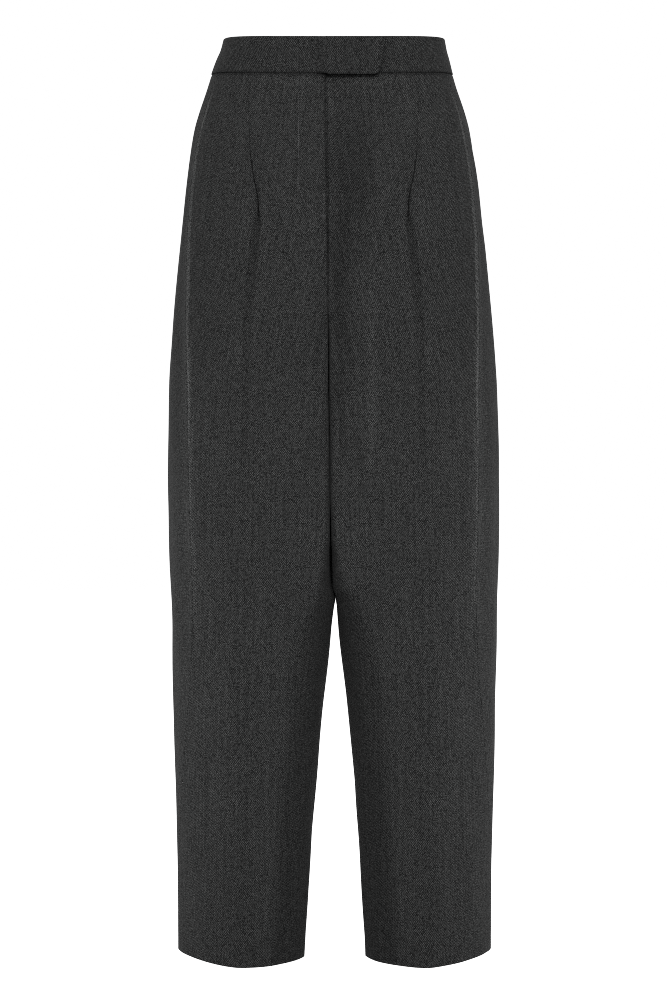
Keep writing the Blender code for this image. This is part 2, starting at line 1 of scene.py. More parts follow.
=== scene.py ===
"""Charcoal wool dress trousers: a sewn-down pleat in each front, a fly and a waistband tab.

The garment is filled out as if worn, with nobody inside.  Its cloth is worked out in grids:
a row is a level of the garment, given as the drop below the waist, and a column is a place
along the tape that measures round one half.  Sizes are in millimetres, and each half is
worked out in its own coordinates, with x growing outwards, before it goes to its side.
"""
import logging
import math
from dataclasses import dataclass, field
from enum import Enum

import bpy
import numpy as np
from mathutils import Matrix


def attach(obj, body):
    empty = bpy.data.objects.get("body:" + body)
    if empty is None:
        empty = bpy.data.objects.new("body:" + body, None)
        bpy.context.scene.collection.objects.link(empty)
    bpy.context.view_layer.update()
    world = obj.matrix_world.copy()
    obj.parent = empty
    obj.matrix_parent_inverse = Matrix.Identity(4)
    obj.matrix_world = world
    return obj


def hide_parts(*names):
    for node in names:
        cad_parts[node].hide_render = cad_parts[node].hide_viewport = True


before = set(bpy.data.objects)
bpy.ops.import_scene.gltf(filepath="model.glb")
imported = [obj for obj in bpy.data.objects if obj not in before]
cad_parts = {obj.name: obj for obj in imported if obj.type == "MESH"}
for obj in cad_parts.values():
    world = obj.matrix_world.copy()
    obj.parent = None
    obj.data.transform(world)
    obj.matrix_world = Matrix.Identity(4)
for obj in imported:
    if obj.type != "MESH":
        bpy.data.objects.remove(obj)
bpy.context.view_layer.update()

LOG = logging.getLogger("trousers")
MM = 0.001
BODY = "root"


class Side(Enum):
    """The wearer's side that a piece is on; the value is the sign of its x."""

    RIGHT = -1
    LEFT = 1


class Face(Enum):
    """The face of the garment that a leg panel covers; the value is the sign of its y."""

    FRONT = -1
    BACK = 1


# ------------------------------------------------------------------ tables and small curves
@dataclass(frozen=True)
class Table:
    """Named columns against the drop, joined by a smooth curve that never overshoots."""

    columns: tuple[str, ...]
    rows: tuple[tuple[float, ...], ...]

    def read(self, name: str, drop: np.ndarray) -> np.ndarray:
        """One column at any drops.

        Each stretch is a cubic whose end slopes are the harmonic means of the slopes on
        either side of the row, or level where the column turns back.

        Args:
            name: The column.
            drop: Drops, in an array of any shape.

        Returns:
            The column's values, in the same shape.
        """
        values = np.array(self.rows, dtype=float)
        xs, ys = values[:, 0], values[:, self.columns.index(name)]
        step = np.diff(xs)
        slope = np.diff(ys) / step
        tangent = np.zeros_like(ys)
        tangent[0], tangent[-1] = slope[0], slope[-1]
        ahead, behind = 2 * step[1:] + step[:-1], step[1:] + 2 * step[:-1]
        same = slope[:-1] * slope[1:] > 0
        first, second = np.where(same, slope[:-1], 1.0), np.where(same, slope[1:], 1.0)
        tangent[1:-1] = np.where(same, (ahead + behind) / (ahead / first + behind / second), 0)
        drop = np.clip(drop, xs[0], xs[-1])
        i = np.clip(np.searchsorted(xs, drop) - 1, 0, len(step) - 1)
        t = (drop - xs[i]) / step[i]
        return (ys[i] + (ys[i + 1] - ys[i]) * t * t * (3 - 2 * t)
                + step[i] * (tangent[i] * t * (1 - t) ** 2
                             - tangent[i + 1] * t * t * (1 - t)))


def ease(x: np.ndarray, low: float, high: float) -> np.ndarray:
    """0 below low, 1 above high, and a smooth rise (3t² - 2t³) between."""
    t = np.clip((x - low) / (high - low), 0.0, 1.0)
    return t * t * (3 - 2 * t)


def bell(distance: np.ndarray) -> np.ndarray:
    """A raised cosine: 1 at no distance and 0 from a distance of 1 on."""
    return (1 + np.cos(math.pi * np.clip(np.abs(distance), 0.0, 1.0))) / 2


def span(x: np.ndarray, rise: tuple[float, float], fall: tuple[float, float]) -> np.ndarray:
    """0, a smooth rise to 1 over one stretch, and a smooth fall back to 0 over another."""
    return ease(x, *rise) * (1 - ease(x, *fall))


def rowwise(query: np.ndarray, xs: np.ndarray, ys: np.ndarray) -> np.ndarray:
    """Straight-line interpolation in every row at once.

    The rows are laid end to end, each moved clear of the one before.

    Args:
        query: Where to read, rows by columns.
        xs: Rising places in each row.
        ys: Values at those places.

    Returns:
        The values at the queried places.
    """
    shift = np.arange(len(xs))[:, None] * (float(xs.max() - xs.min()) + 1.0)
    query = np.clip(query, xs[:, :1], xs[:, -1:])
    values = np.interp((query + shift).ravel(), (xs + shift).ravel(), ys.ravel())
    return values.reshape(query.shape)


# ------------------------------------------------------------------ the garment's form
CROTCH_TOP = 268.0
FORK = 328.0
HEM = 1042.0
BAND_TOP = -3.0
BAND_BOTTOM = 37.2
SEAM_GAP = 0.3

OUTLINE = Table(("drop", "half_width", "sway"), (
    (-3, 125.4, 0.8), (10, 128.3, 0.2), (20, 131.9, -0.6), (37, 137.2, -1.5),
    (49, 140.9, -1.7), (65, 146.2, -1.7), (83, 151.8, -1.7), (100, 156.4, -1.7),
    (134, 162.4, -1.7), (168, 167.0, -1.7), (203, 170.8, -1.6), (237, 174.5, -1.2),
    (288, 179.2, -1.1), (340, 183.6, -1.0), (391, 187.0, -0.7), (443, 188.4, -0.2),
    (512, 188.8, 0.2), (580, 187.8, 0.6), (632, 186.5, 0.9), (752, 184.2, 1.4),
    (889, 180.8, 1.4), (958, 179.2, 1.2), (1044, 178.8, 1.2)))
DEPTH = Table(("drop", "front", "back", "side", "front_crest", "back_crest", "inseam"), (
    (-3, -95, 90, 0, 22, 26, 15), (37, -100, 95, 0, 24, 30, 15),
    (65, -106, 103, 0, 28, 36, 15), (100, -111, 115, 1, 32, 44, 15),
    (160, -117, 131, 3, 40, 56, 15), (210, -119, 138, 4, 48, 64, 15),
    (270, -120, 137, 5, 58, 74, 15), (328, -119, 130, 5, 72, 84, 15),
    (400, -117, 116, 4, 86, 92, 12), (500, -112, 105, 3, 92, 94, 8),
    (620, -103, 98, 2, 94, 95, 4), (750, -94, 91, 1, 99, 99, 2),
    (900, -84, 84, 0, 104, 104, 0), (1044, -77, 77, 0, 107, 107, 0)))
PARTING = Table(("drop", "middle", "half_gap", "inner_power", "outer_power"), (
    (-3, -9.7, 0.01, 30, 2.2), (212, -7.1, 0.01, 30, 2.3), (335, -5.7, 0.01, 30, 2.2),
    (352, -5.5, 0.15, 30, 2.2), (414, -4.9, 0.25, 28, 2.1), (523, -3.9, 0.4, 24, 2.0),
    (565, -3.3, 0.6, 18, 1.9), (582, -3.0, 1.6, 13, 1.9), (604, -2.8, 1.7, 8.5, 1.9),
    (616, -2.7, 1.2, 6.3, 1.9), (625, -1.0, 0.25, 5, 1.9), (632, 1.6, 0.25, 4.2, 1.9),
    (637, 2.5, 0.5, 3.8, 1.9), (643, 2.4, 1.6, 3.4, 1.9), (652, 2.1, 2.5, 3.0, 1.9),
    (683, 1.9, 5.4, 2.2, 1.85), (752, 2.2, 13.2, 1.9, 1.8), (820, 2.2, 20.0, 1.8, 1.7),
    (889, 1.9, 25.2, 1.7, 1.6), (958, 1.7, 29.7, 1.6, 1.5), (1044, 1.7, 35.0, 1.5, 1.5)))
# How far the side seam lies in front of the garment's widest line, measured across.
SIDE_SEAM = Table(("drop", "inset"), (
    (-3, 8.0), (37, 8.5), (150, 10.2), (225, 12.6), (267, 15.6), (316, 19.8), (409, 27.4),
    (500, 29.0), (614, 30.0), (700, 26.0), (780, 17.0), (866, 7.5), (935, 2.4), (1044, 0.5)))
# A pleat or dart is sewn shut (1) down to its release, then opens (0) and dies out.
PLEAT = Table(("drop", "across", "depth", "reach", "sewn"), (
    (37, 94, 9, 6, 1), (100, 92.8, 9, 6, 1), (135, 91.5, 9, 6, 1), (165, 88, 9, 6, 1),
    (200, 82.5, 9, 6, 1), (211, 82.4, 7, 5.5, 0.6), (224, 83.6, 5.4, 6.5, 0),
    (240, 86, 4.6, 7, 0), (256, 88, 4.2, 7, 0), (285, 90.8, 3.9, 7, 0),
    (330, 94, 3.3, 7.5, 0), (370, 94.5, 2.3, 9, 0), (420, 92, 1.4, 16, 0),
    (470, 86, 1.0, 28, 0), (570, 80, 0, 32, 0), (1044, 95, 0, 32, 0)))
DART = Table(("drop", "across", "depth", "reach", "sewn"), (
    (30, 72, 7, 6, 1), (100, 75, 4, 6, 1), (135, 77, 2, 7, 1), (158, 78, 0.8, 12, 0),
    (185, 79, 0, 22, 0), (330, 84, 0, 38, 0), (1044, 95, 0, 34, 0)))


@dataclass(frozen=True)
class Fold:
    """A soft trough of the hanging cloth, or a ridge where the depth is negative.

    Its centre runs straight from across_top to across_bottom, its depth swells and dies as
    half a sine wave down its length, and across it is a raised cosine.  Its tone is painted
    into the cloth's colour: a painted highlight above 0 and painted shade below 0.
    """

    face: Face
    sides: tuple[Side, ...]
    drops: tuple[float, float]
    across: tuple[float, float]
    reach: float
    depth: float
    tone: float = 0.0

    def shape(self, drop: np.ndarray, x: np.ndarray) -> np.ndarray:
        """How full the fold is at drops and places across, from 0 to 1.

        Args:
            drop: The rows' drops, as a column.
            x: Places across, rows by columns.

        Returns:
            The share, rows by columns.
        """
        along = np.clip((drop - self.drops[0]) / (self.drops[1] - self.drops[0]), 0, 1)
        centre = self.across[0] + (self.across[1] - self.across[0]) * along
        return np.sin(math.pi * along) * bell((x - centre) / self.reach)


RIGHT, LEFT, BOTH = (Side.RIGHT,), (Side.LEFT,), (Side.RIGHT, Side.LEFT)
FOLDS = (
    # The last number, where given, paints shade below 0 and highlight above 0 into the colour.
    Fold(Face.FRONT, LEFT, (185, 480), (6, 8), 19, 4.0, -0.30),
    Fold(Face.FRONT, LEFT, (42, 300), (26, 16), 38, 0.6, -0.30),
    Fold(Face.FRONT, LEFT, (235, 540), (43, 41), 8, -2.2, 0.34),
    Fold(Face.FRONT, LEFT, (240, 520), (28, 27), 10, 0.8),
    Fold(Face.FRONT, RIGHT, (225, 480), (12, 12), 13, 0.8, -0.16),
    Fold(Face.BACK, RIGHT, (300, 560), (40, 96), 30, 3.0),
    Fold(Face.BACK, LEFT, (310, 620), (48, 92), 32, 3.4),
    Fold(Face.BACK, RIGHT, (430, 800), (130, 112), 28, 2.6),
    Fold(Face.BACK, LEFT, (470, 860), (128, 120), 26, 2.2),
    Fold(Face.BACK, RIGHT, (250, 420), (120, 104), 26, -1.8),
    Fold(Face.BACK, LEFT, (240, 400), (126, 112), 26, -1.6),
    # Finer ones: the cloth lifts on both sides of a pleat's release, ...
    Fold(Face.FRONT, BOTH, (196, 320), (72.0, 78.0), 8, -1.1, 0.12),
    Fold(Face.FRONT, BOTH, (192, 262), (98.0, 102.0), 9, -1.2, 0.12),
    # ... hollows at the inner thigh and the hem's inner corner, ...
    Fold(Face.FRONT, BOTH, (500, 668), (28.0, 36.0), 17, 1.3),
    Fold(Face.FRONT, BOTH, (915, 1060), (52.0, 46.0), 24, 2.0),
    Fold(Face.FRONT, BOTH, (690, 860), (118.0, 112.0), 30, -1.2),
    Fold(Face.FRONT, RIGHT, (60, 190), (46.0, 50.0), 12, 0.5),
    Fold(Face.FRONT, RIGHT, (760, 1010), (140.0, 132.0), 16, 0.9),
    Fold(Face.FRONT, LEFT, (800, 1030), (128.0, 136.0), 18, 0.8),
    # ... and soft drag lines below the seat and down the back of the knee.
    Fold(Face.BACK, BOTH, (120, 240), (108.0, 122.0), 16, 0.9),
    Fold(Face.BACK, RIGHT, (560, 760), (76.0, 92.0), 18, 1.6),
    Fold(Face.BACK, LEFT, (590, 770), (84.0, 74.0), 18, 1.4),
    Fold(Face.BACK, RIGHT, (820, 1050), (70.0, 84.0), 22, 1.3),
    Fold(Face.BACK, LEFT, (800, 1045), (116.0, 104.0), 24, 1.5),
    Fold(Face.BACK, BOTH, (880, 1055), (48.0, 44.0), 20, 1.5),
)


def inner_edge(drop: np.ndarray, crest_y: np.ndarray) -> np.ndarray:
    """Where a panel's inner edge lies in depth.

    It is on the crest down to the crotch curve, which is a quarter of an ellipse, and at the
    inseam below the fork.

    Args:
        drop: The rows' drops, as a column.
        crest_y: Where the crest lies in depth.

    Returns:
        Places in depth.
    """
    inseam = DEPTH.read("inseam", drop)
    sine = np.clip((drop - CROTCH_TOP) / (FORK - CROTCH_TOP), 0.0, 1.0)
    return crest_y + (inseam - crest_y) * (1 - np.sqrt(1 - sine * sine))


def rounded(quarter: np.ndarray, power: np.ndarray) -> tuple[np.ndarray, np.ndarray]:
    """Unit quarter of a superellipse by direction: 0 at (1, 0) and 1 at (0, 1).

    Args:
        quarter: Shares of the quarter, from 0 to 1.
        power: The superellipse's power.

    Returns:
        Both coordinates.
    """
    c, s = np.cos(quarter * math.pi / 2), np.sin(quarter * math.pi / 2)
    radius = (c ** power + s ** power) ** (-1 / power)
    return c * radius, s * radius


def outline(side: Side, drop: np.ndarray, q: np.ndarray) -> tuple[np.ndarray, np.ndarray]:
    """Points of one half's level outlines.

    Four quarters of superellipses follow each other: q runs from 0 at the inner edge to 1 at
    the front crest, 2 at the side, 3 at the back crest and 4 at the inner edge again.

    Args:
        side: The half.
        drop: One drop a row, as a column of numbers.
        q: Parameters, rows by columns.

    Returns:
        x outwards and y backwards.
    """
    sign = side.value
    front, back, middle_y = (DEPTH.read(name, drop) for name in ("front", "back", "side"))
    sway = sign * OUTLINE.read("sway", drop)
    wide = OUTLINE.read("half_width", drop) + sway
    inner = PARTING.read("half_gap", drop) + sign * PARTING.read("middle", drop)
    front_crest = DEPTH.read("front_crest", drop) + sway
    back_crest = DEPTH.read("back_crest", drop) + sway
    front_edge, back_edge = inner_edge(drop, front), inner_edge(drop, back)
    part = np.clip(np.floor(q), 0, 3).astype(int)
    a_in, b_in = rounded(q - part, PARTING.read("inner_power", drop))
    a_out, b_out = rounded(q - part, PARTING.read("outer_power", drop))
    x = np.choose(part, (front_crest - (front_crest - inner) * a_in,
                         front_crest + (wide - front_crest) * b_out,
                         back_crest + (wide - back_crest) * a_out,
                         back_crest - (back_crest - inner) * b_in))
    y = np.choose(part, (front_edge - (front_edge - front) * b_in,
                         middle_y + (front - middle_y) * a_out,
                         middle_y + (back - middle_y) * b_out,
                         back_edge + (back - back_edge) * a_in))
    return x, y


class Tape:
    """The outlines of one half at many drops, each measured along its length."""

    POINTS = 1601
    NEAR = 0.004
    TURNING = (0.3, 0.8)

    def __init__(self, side: Side, drop: np.ndarray) -> None:
        """Measures the outlines.

        Args:
            side: The half.
            drop: One drop a row.
        """
        self.side = side
        self.drop = np.asarray(drop, dtype=float)[:, None]
        self.q = np.tile(np.linspace(0.0, 4.0, self.POINTS), (len(drop), 1))
        self.x, self.y = outline(side, self.drop, self.q)
        step = np.hypot(np.diff(self.x, axis=1), np.diff(self.y, axis=1))
        self.length = np.pad(np.cumsum(step, axis=1), ((0, 0), (1, 0))) + 1e-7 * self.q

    def at_x(self, x: np.ndarray, face: Face) -> np.ndarray:
        """Length along each tape where a face is x from the middle.

        Args:
            x: Places across, growing outwards, rows by columns.
            face: The face on which to look.

        Returns:
            Lengths, rows by columns.
        """
        if face is Face.FRONT:
            cut = slice(0, self.POINTS // 2 + 1)
            return rowwise(x, self.x[:, cut], self.length[:, cut])
        cut = slice(self.POINTS // 2, 7 * self.POINTS // 8)
        return rowwise(-x, -self.x[:, cut], self.length[:, cut])

    def seam(self) -> np.ndarray:
        """Length along each tape at the side seam, as a column."""
        widest = self.x.max(axis=1, keepdims=True)
        return self.at_x(widest - SIDE_SEAM.read("inset", self.drop), Face.FRONT)

    def way(self, length: np.ndarray) -> tuple[np.ndarray, np.ndarray]:
        """The outlines' unit directions at lengths along the tapes.

        Args:
            length: Lengths along the tapes, rows by columns.

        Returns:
            The directions' parts across and in depth.
        """
        q = rowwise(length, self.length, self.q)
        low, high = np.clip(q - self.NEAR, 0, 4), np.clip(q + self.NEAR, 0, 4)
        dx = rowwise(high, self.q, self.x) - rowwise(low, self.q, self.x)
        dy = rowwise(high, self.q, self.y) - rowwise(low, self.q, self.y)
        size = np.maximum(np.hypot(dx, dy), 1e-9)
        return dx / size, dy / size

    def place(self, length: np.ndarray, sunk: np.ndarray) -> tuple[np.ndarray, np.ndarray]:
        """Points at lengths along the tapes, moved into the garment along the normal.

        Args:
            length: Lengths along the tapes, rows by columns.
            sunk: Depths below the outline.

        Returns:
            Places across and in depth.
        """
        x, y = outline(self.side, self.drop, rowwise(length, self.length, self.q))
        dx, dy = self.way(length)
        return x - dy * sunk, y + dx * sunk

    def facing(self, length: np.ndarray) -> np.ndarray:
        """1 where the outline faces the front or the back, 0 where it faces sideways."""
        return ease(np.abs(self.way(length)[0]), *self.TURNING)


@dataclass(frozen=True)
class Garment:
    """What bends every piece of the garment the same way."""

    waist_tilt: float = 0.1
    waist_dip: float = 0.00065
    waist_fade: tuple[float, float] = (40.0, 190.0)
    hem_tilt: float = 4.3
    hem_curve: float = 1.7
    hem_half: float = 72.0
    hem_fade: float = 900.0
    bow: float = 6.5
    bow_top: tuple[float, float] = (CROTCH_TOP, FORK + 20)
    bow_foot: tuple[float, float] = (606.0, 636.0)
    bow_reach: tuple[float, float] = (60.0, 60.0)

    def level(self, drop: np.ndarray, x: np.ndarray, y: np.ndarray) -> np.ndarray:
        """Height of points of a row: its drop, bent to the waistline's and the hem's curve.

        Args:
            drop: The rows' drops, as a column.
            x: Places across, growing outwards.
            y: Places in depth.

        Returns:
            Heights, in millimetres.
        """
        waistline = self.waist_tilt * y - self.waist_dip * y * y
        across = (x - DEPTH.read("front_crest", drop)) / self.hem_half
        hem = self.hem_tilt * across + self.hem_curve * across ** 2
        return (-drop + (1 - ease(drop, *self.waist_fade)) * waistline
                + ease(drop, self.hem_fade, HEM) * hem)

    def points(self, side: Side, drop: np.ndarray, x: np.ndarray,
               y: np.ndarray) -> np.ndarray:
        """One half's points in the garment's own axes.

        The inner walls of the legs bow the same way where they touch, by a width that fades
        outwards and to the front and back.

        Args:
            side: The half.
            drop: One drop a row, as a column.
            x: Places across, growing outwards.
            y: Places in depth.

        Returns:
            Rows by columns by three, in millimetres.
        """
        touching = span(drop, self.bow_top, self.bow_foot)
        near = 1 - ease(x, 0.0, self.bow_reach[0])
        deep = bell(y / self.bow_reach[1])
        x = x + side.value * self.bow * touching * near * deep
        return np.stack((side.value * x, y + 0 * x, self.level(drop, x, y) + 0 * x), axis=-1)


GARMENT = Garment()


# ------------------------------------------------------------------ meshes
def normals(points: np.ndarray, outward: int) -> np.ndarray:
    """Unit normals of a grid, from the cross product of its rows' and columns' directions.

    Args:
        points: The grid, rows by columns by three.
        outward: 1 where rows crossed with columns point out, else -1.

    Returns:
        Normals, in the same shape.
    """
    down, along = np.gradient(points, axis=0), np.gradient(points, axis=1)
    normal = np.cross(down, along) * outward
    return normal / np.maximum(np.linalg.norm(normal, axis=-1, keepdims=True), 1e-12)


def mesh_object(name: str, points: np.ndarray, quads: np.ndarray,
                uv: np.ndarray | None = None,
                pressed: np.ndarray | None = None) -> bpy.types.Object:
    """A smooth-shaded object from arrays.

    Args:
        name: The piece's name.
        points: Corners by three, in millimetres.
        quads: Faces by four corner numbers.
        uv: Corners by two, the cloth's own coordinates in metres.
        pressed: One number a corner: painted highlight above 0 and painted shade below 0.

    Returns:
        The object, at the origin.
    """
    mesh = bpy.data.meshes.new(name)
    mesh.vertices.add(len(points))
    mesh.vertices.foreach_set("co", (points * MM).astype(np.float32).ravel())
    mesh.loops.add(quads.size)
    mesh.loops.foreach_set("vertex_index", quads.astype(np.int32).ravel())
    mesh.polygons.add(len(quads))
    mesh.polygons.foreach_set("loop_start", np.arange(0, quads.size, 4, dtype=np.int32))
    mesh.update(calc_edges=True)
    if uv is not None:
        layer = mesh.uv_layers.new(name="cut")
        layer.data.foreach_set("uv", uv[quads.ravel()].astype(np.float32).ravel())
    if pressed is not None:
        attribute = mesh.attributes.new("pressed", "FLOAT", "POINT")
        attribute.data.foreach_set("value", pressed.astype(np.float32))
    mesh.polygons.foreach_set("use_smooth", np.ones(len(quads), dtype=bool))
    mesh.validate()
    obj = bpy.data.objects.new(name, mesh)
    bpy.context.scene.collection.objects.link(obj)
    return obj


def shell(name: str, outer: np.ndarray, inner: np.ndarray, uv: np.ndarray,
          outward: int, pressed: np.ndarray | None = None) -> bpy.types.Object:
    """A closed wall between two grids of points, with a rim all the way round.

    Args:
        name: The piece's name.
        outer: The outer grid, rows by columns by three.
        inner: The inner grid.
        uv: The cloth's coordinates at the grid's points.
        outward: 1 where rows crossed with columns point out of the garment, else -1.
        pressed: The painted highlight and shade at the grid's points.

    Returns:
        The object.
    """
    rows, cols = outer.shape[:2]
    number = np.arange(rows * cols).reshape(rows, cols)
    top = np.stack((number[:-1, :-1], number[1:, :-1], number[1:, 1:], number[:-1, 1:]),
                   axis=-1).reshape(-1, 4)
    ring = np.concatenate((number[:, 0], number[-1, 1:], number[-2::-1, -1],
                           number[0, -2:0:-1]))
    after = np.roll(ring, -1)
    size = rows * cols
    rim = np.stack((after, ring, ring + size, after + size), axis=-1)
    quads = np.concatenate((top, top[:, ::-1] + size, rim))
    if outward < 0:
        quads = quads[:, ::-1]
    points = np.concatenate((outer.reshape(-1, 3), inner.reshape(-1, 3)))
    tone = np.zeros(2 * size) if pressed is None else np.tile(pressed.ravel(), 2)
    return mesh_object(name, points, quads, np.tile(uv.reshape(-1, 2), (2, 1)), tone)


# ------------------------------------------------------------------ cloth edges and tucks
@dataclass(frozen=True)
class TurnedEdge:
    """A cloth edge turned in on itself along a seam, with its allowance lying inside."""

    radius: float = 0.6
    allowance: float = 9.0
    inside: tuple[float, ...] = (1.0, 0.66, 0.33)
    flats: tuple[float, ...] = (0.0, 0.5, 1.3, 2.6, 4.6, 7.0)
    steps: int = 7
    pull: float = 0.3
    pull_reach: float = 3.0

    def profile(self) -> tuple[np.ndarray, np.ndarray]:
        """The edge's section: distance in from the fold line, and depth below the face.

        It comes out along the allowance, goes half round a circle and on along the face,
        which the stitching draws in a little towards the seam.

        Returns:
            Distances and depths, one a column.
        """
        back = np.array(self.inside) * self.allowance
        turn = np.linspace(0.0, math.pi, self.steps)
        flat = self.radius + np.array(self.flats[1:])
        distance = np.concatenate((back, self.radius * (1 - np.sin(turn)), flat))
        depth = np.concatenate((np.full(len(back), 2 * self.radius),
                                self.radius * (1 + np.cos(turn)), 0 * flat))
        return distance, depth + self.pull * (1 - ease(distance, 0.0, self.pull_reach))


@dataclass(frozen=True)
class Tuck:
    """A pleat or dart's section: a deep narrow slot with round lips, or an open valley."""

    mouth: tuple[float, float] = (0.12, 0.75)
    mouth_opens: tuple[float, float] = (95.0, 205.0)
    lip: float = 0.7
    lip_share: float = 0.45
    flats: tuple[float, ...] = (16.0, 12.2, 9.0, 6.4, 4.3, 2.7, 1.6)
    lip_steps: int = 5
    wall_steps: int = 3
    floor_turns: tuple[float, ...] = (0.25, 0.5)

    def profile(self, drop: np.ndarray, depth: np.ndarray, reach: np.ndarray,
                sewn: np.ndarray) -> tuple[np.ndarray, np.ndarray]:
        """Places across the fold and their depths, rows by columns.

        Sewn shut, the section is level, a quarter circle at each lip, straight walls and a
        half-round floor.  Open, it is a raised cosine.  Between them the two are mixed.

        Args:
            drop: The rows' drops, as a column.
            depth: Depth of the fold in each row.
            reach: How far the open valley reaches to each side.
            sewn: 1 where it is sewn shut, 0 where it is open.

        Returns:
            Places and depths.
        """
        closed, opened = self.mouth
        mouth = closed + (opened - closed) * ease(drop, *self.mouth_opens)
        lip = np.minimum(self.lip, self.lip_share * depth)
        turn = np.linspace(0.0, math.pi / 2, self.lip_steps)
        wall = np.linspace(0.0, 1.0, self.wall_steps + 1)[1:]
        floor = np.array(self.floor_turns) * math.pi
        ones = np.ones_like(depth)
        place = np.concatenate((
            -np.array(self.flats) * ones - mouth,
            -(mouth + lip * (1 - np.sin(turn))), -mouth + 0 * (wall * ones),
            -mouth * np.cos(floor)), axis=1)
        sunk = np.concatenate((
            0 * np.array(self.flats) * ones, lip * (1 - np.cos(turn)),
            lip + (depth - lip) * wall, depth + mouth * np.sin(floor)), axis=1)
        place = np.concatenate((place, -place[:, -2::-1]), axis=1)
        sunk = np.concatenate((sunk, sunk[:, -2::-1]), axis=1)
        even = np.linspace(-1.0, 1.0, place.shape[1])
        return (sewn * place + (1 - sewn) * even * reach,
                sewn * sunk + (1 - sewn) * depth * bell(even))


@dataclass(frozen=True)
class Lumps:
    """The faint unevenness of hanging cloth: a sum of a few long waves."""

    seed: int
    height: float = 0.16
    count: int = 9
    across: tuple[float, float] = (34.0, 95.0)
    down: tuple[float, float] = (90.0, 420.0)

    def sunk(self, drop: np.ndarray, length: np.ndarray) -> np.ndarray:
        """Depth at drops and lengths: sines of different wavelengths, slants and phases.

        Args:
            drop: The rows' drops, as a column.
            length: Lengths along the tape, rows by columns.

        Returns:
            Depths, rows by columns.
        """
        draw = np.random.default_rng(self.seed)
        total = 0.0
        for _ in range(self.count):
            wide, tall = draw.uniform(*self.across), draw.uniform(*self.down)
            slant, phase = draw.choice((-1.0, 1.0)), draw.uniform(0.0, 2 * math.pi)
            total = total + np.sin(2 * math.pi * (length / wide + slant * drop / tall) + phase)
        return self.height * total


# ------------------------------------------------------------------ finishes
class Nodes:
    """A material's node tree, with short ways to add and join nodes."""

    def __init__(self, name: str) -> None:
        """Makes the material with its shader.

        Args:
            name: The material's name.
        """
        self.material = bpy.data.materials.new(name)
        self.material.use_nodes = True
        self.tree = self.material.node_tree
        self.shader = self.tree.nodes["Principled BSDF"]

    def set(self, **sockets: object) -> None:
        """Sets the shader's own sockets; underscores stand for spaces."""
        for socket, value in sockets.items():
            self.shader.inputs[socket.replace("_", " ")].default_value = value

    def join(self, value: object, socket: bpy.types.NodeSocket) -> None:
        """Links a socket to an input, or sets the input to a plain value.

        Args:
            value: An output of a node, or a plain value.
            socket: The input.
        """
        if isinstance(value, bpy.types.NodeSocket):
            self.tree.links.new(value, socket)
        else:
            socket.default_value = value

    def math(self, operation: str, a: object, b: object = 0.0) -> bpy.types.NodeSocket:
        """An arithmetic operation on two numbers or sockets.

        Args:
            operation: The node's operation.
            a: The first number or socket.
            b: The second, where the operation has one.

        Returns:
            The result.
        """
        node = self.tree.nodes.new("ShaderNodeMath")
        node.operation = operation
        self.join(a, node.inputs[0])
        self.join(b, node.inputs[1])
        return node.outputs[0]

    def scaled(self, coordinates: bpy.types.NodeSocket,
               scale: tuple[float, float, float]) -> bpy.types.NodeSocket:
        """Coordinates multiplied by a scale.

        Args:
            coordinates: The coordinates.
            scale: One factor for each axis.

        Returns:
            The scaled coordinates.
        """
        node = self.tree.nodes.new("ShaderNodeMapping")
        node.inputs["Scale"].default_value = scale
        self.join(coordinates, node.inputs["Vector"])
        return node.outputs[0]

    def noise(self, coordinates: bpy.types.NodeSocket, scale: float,
              detail: float = 2.0) -> bpy.types.NodeSocket:
        """Soft noise between 0 and 1.

        Args:
            coordinates: Where to read the noise.
            scale: Lumps of noise in one unit of length.
            detail: Layers of finer noise.

        Returns:
            The noise.
        """
        node = self.tree.nodes.new("ShaderNodeTexNoise")
        self.join(coordinates, node.inputs["Vector"])
        node.inputs["Scale"].default_value = scale
        node.inputs["Detail"].default_value = detail
        return node.outputs["Fac"]

    def cells(self, coordinates: bpy.types.NodeSocket,
              size: tuple[float, float]) -> bpy.types.NodeSocket:
        """A random number for each cell of a grid: white noise of the rounded coordinates.

        Args:
            coordinates: Where to read.
            size: A cell's width and height.

        Returns:
            The number, from 0 to 1.
        """
        scaled = self.scaled(coordinates, (1 / size[0], 1 / size[1], 1.0))
        floor = self.tree.nodes.new("ShaderNodeVectorMath")
        floor.operation = "FLOOR"
        self.join(scaled, floor.inputs[0])
        white = self.tree.nodes.new("ShaderNodeTexWhiteNoise")
        self.join(floor.outputs[0], white.inputs["Vector"])
        return white.outputs["Value"]

    def mix(self, factor: object, a: object, b: object) -> bpy.types.NodeSocket:
        """A colour between a and b.

        Args:
            factor: 0 for a and 1 for b.
            a: A colour or socket.
            b: A colour or socket.

        Returns:
            The colour.
        """
        node = self.tree.nodes.new("ShaderNodeMix")
        node.data_type = "RGBA"
        node.clamp_factor = True
        self.join(factor, node.inputs["Factor"])
        self.join(a, node.inputs["A"])
        self.join(b, node.inputs["B"])
        return node.outputs["Result"]

    def bump(self, height: bpy.types.NodeSocket, strength: float, distance: float) -> None:
        """Puts a bump on the shader.

        Args:
            height: The height.
            strength: How strong the bump is.
            distance: How deep a height of 1 is, in metres.
        """
        node = self.tree.nodes.new("ShaderNodeBump")
        node.inputs["Strength"].default_value = strength
        node.inputs["Distance"].default_value = distance
        self.join(height, node.inputs["Height"])
        self.join(node.outputs[0], self.shader.inputs["Normal"])


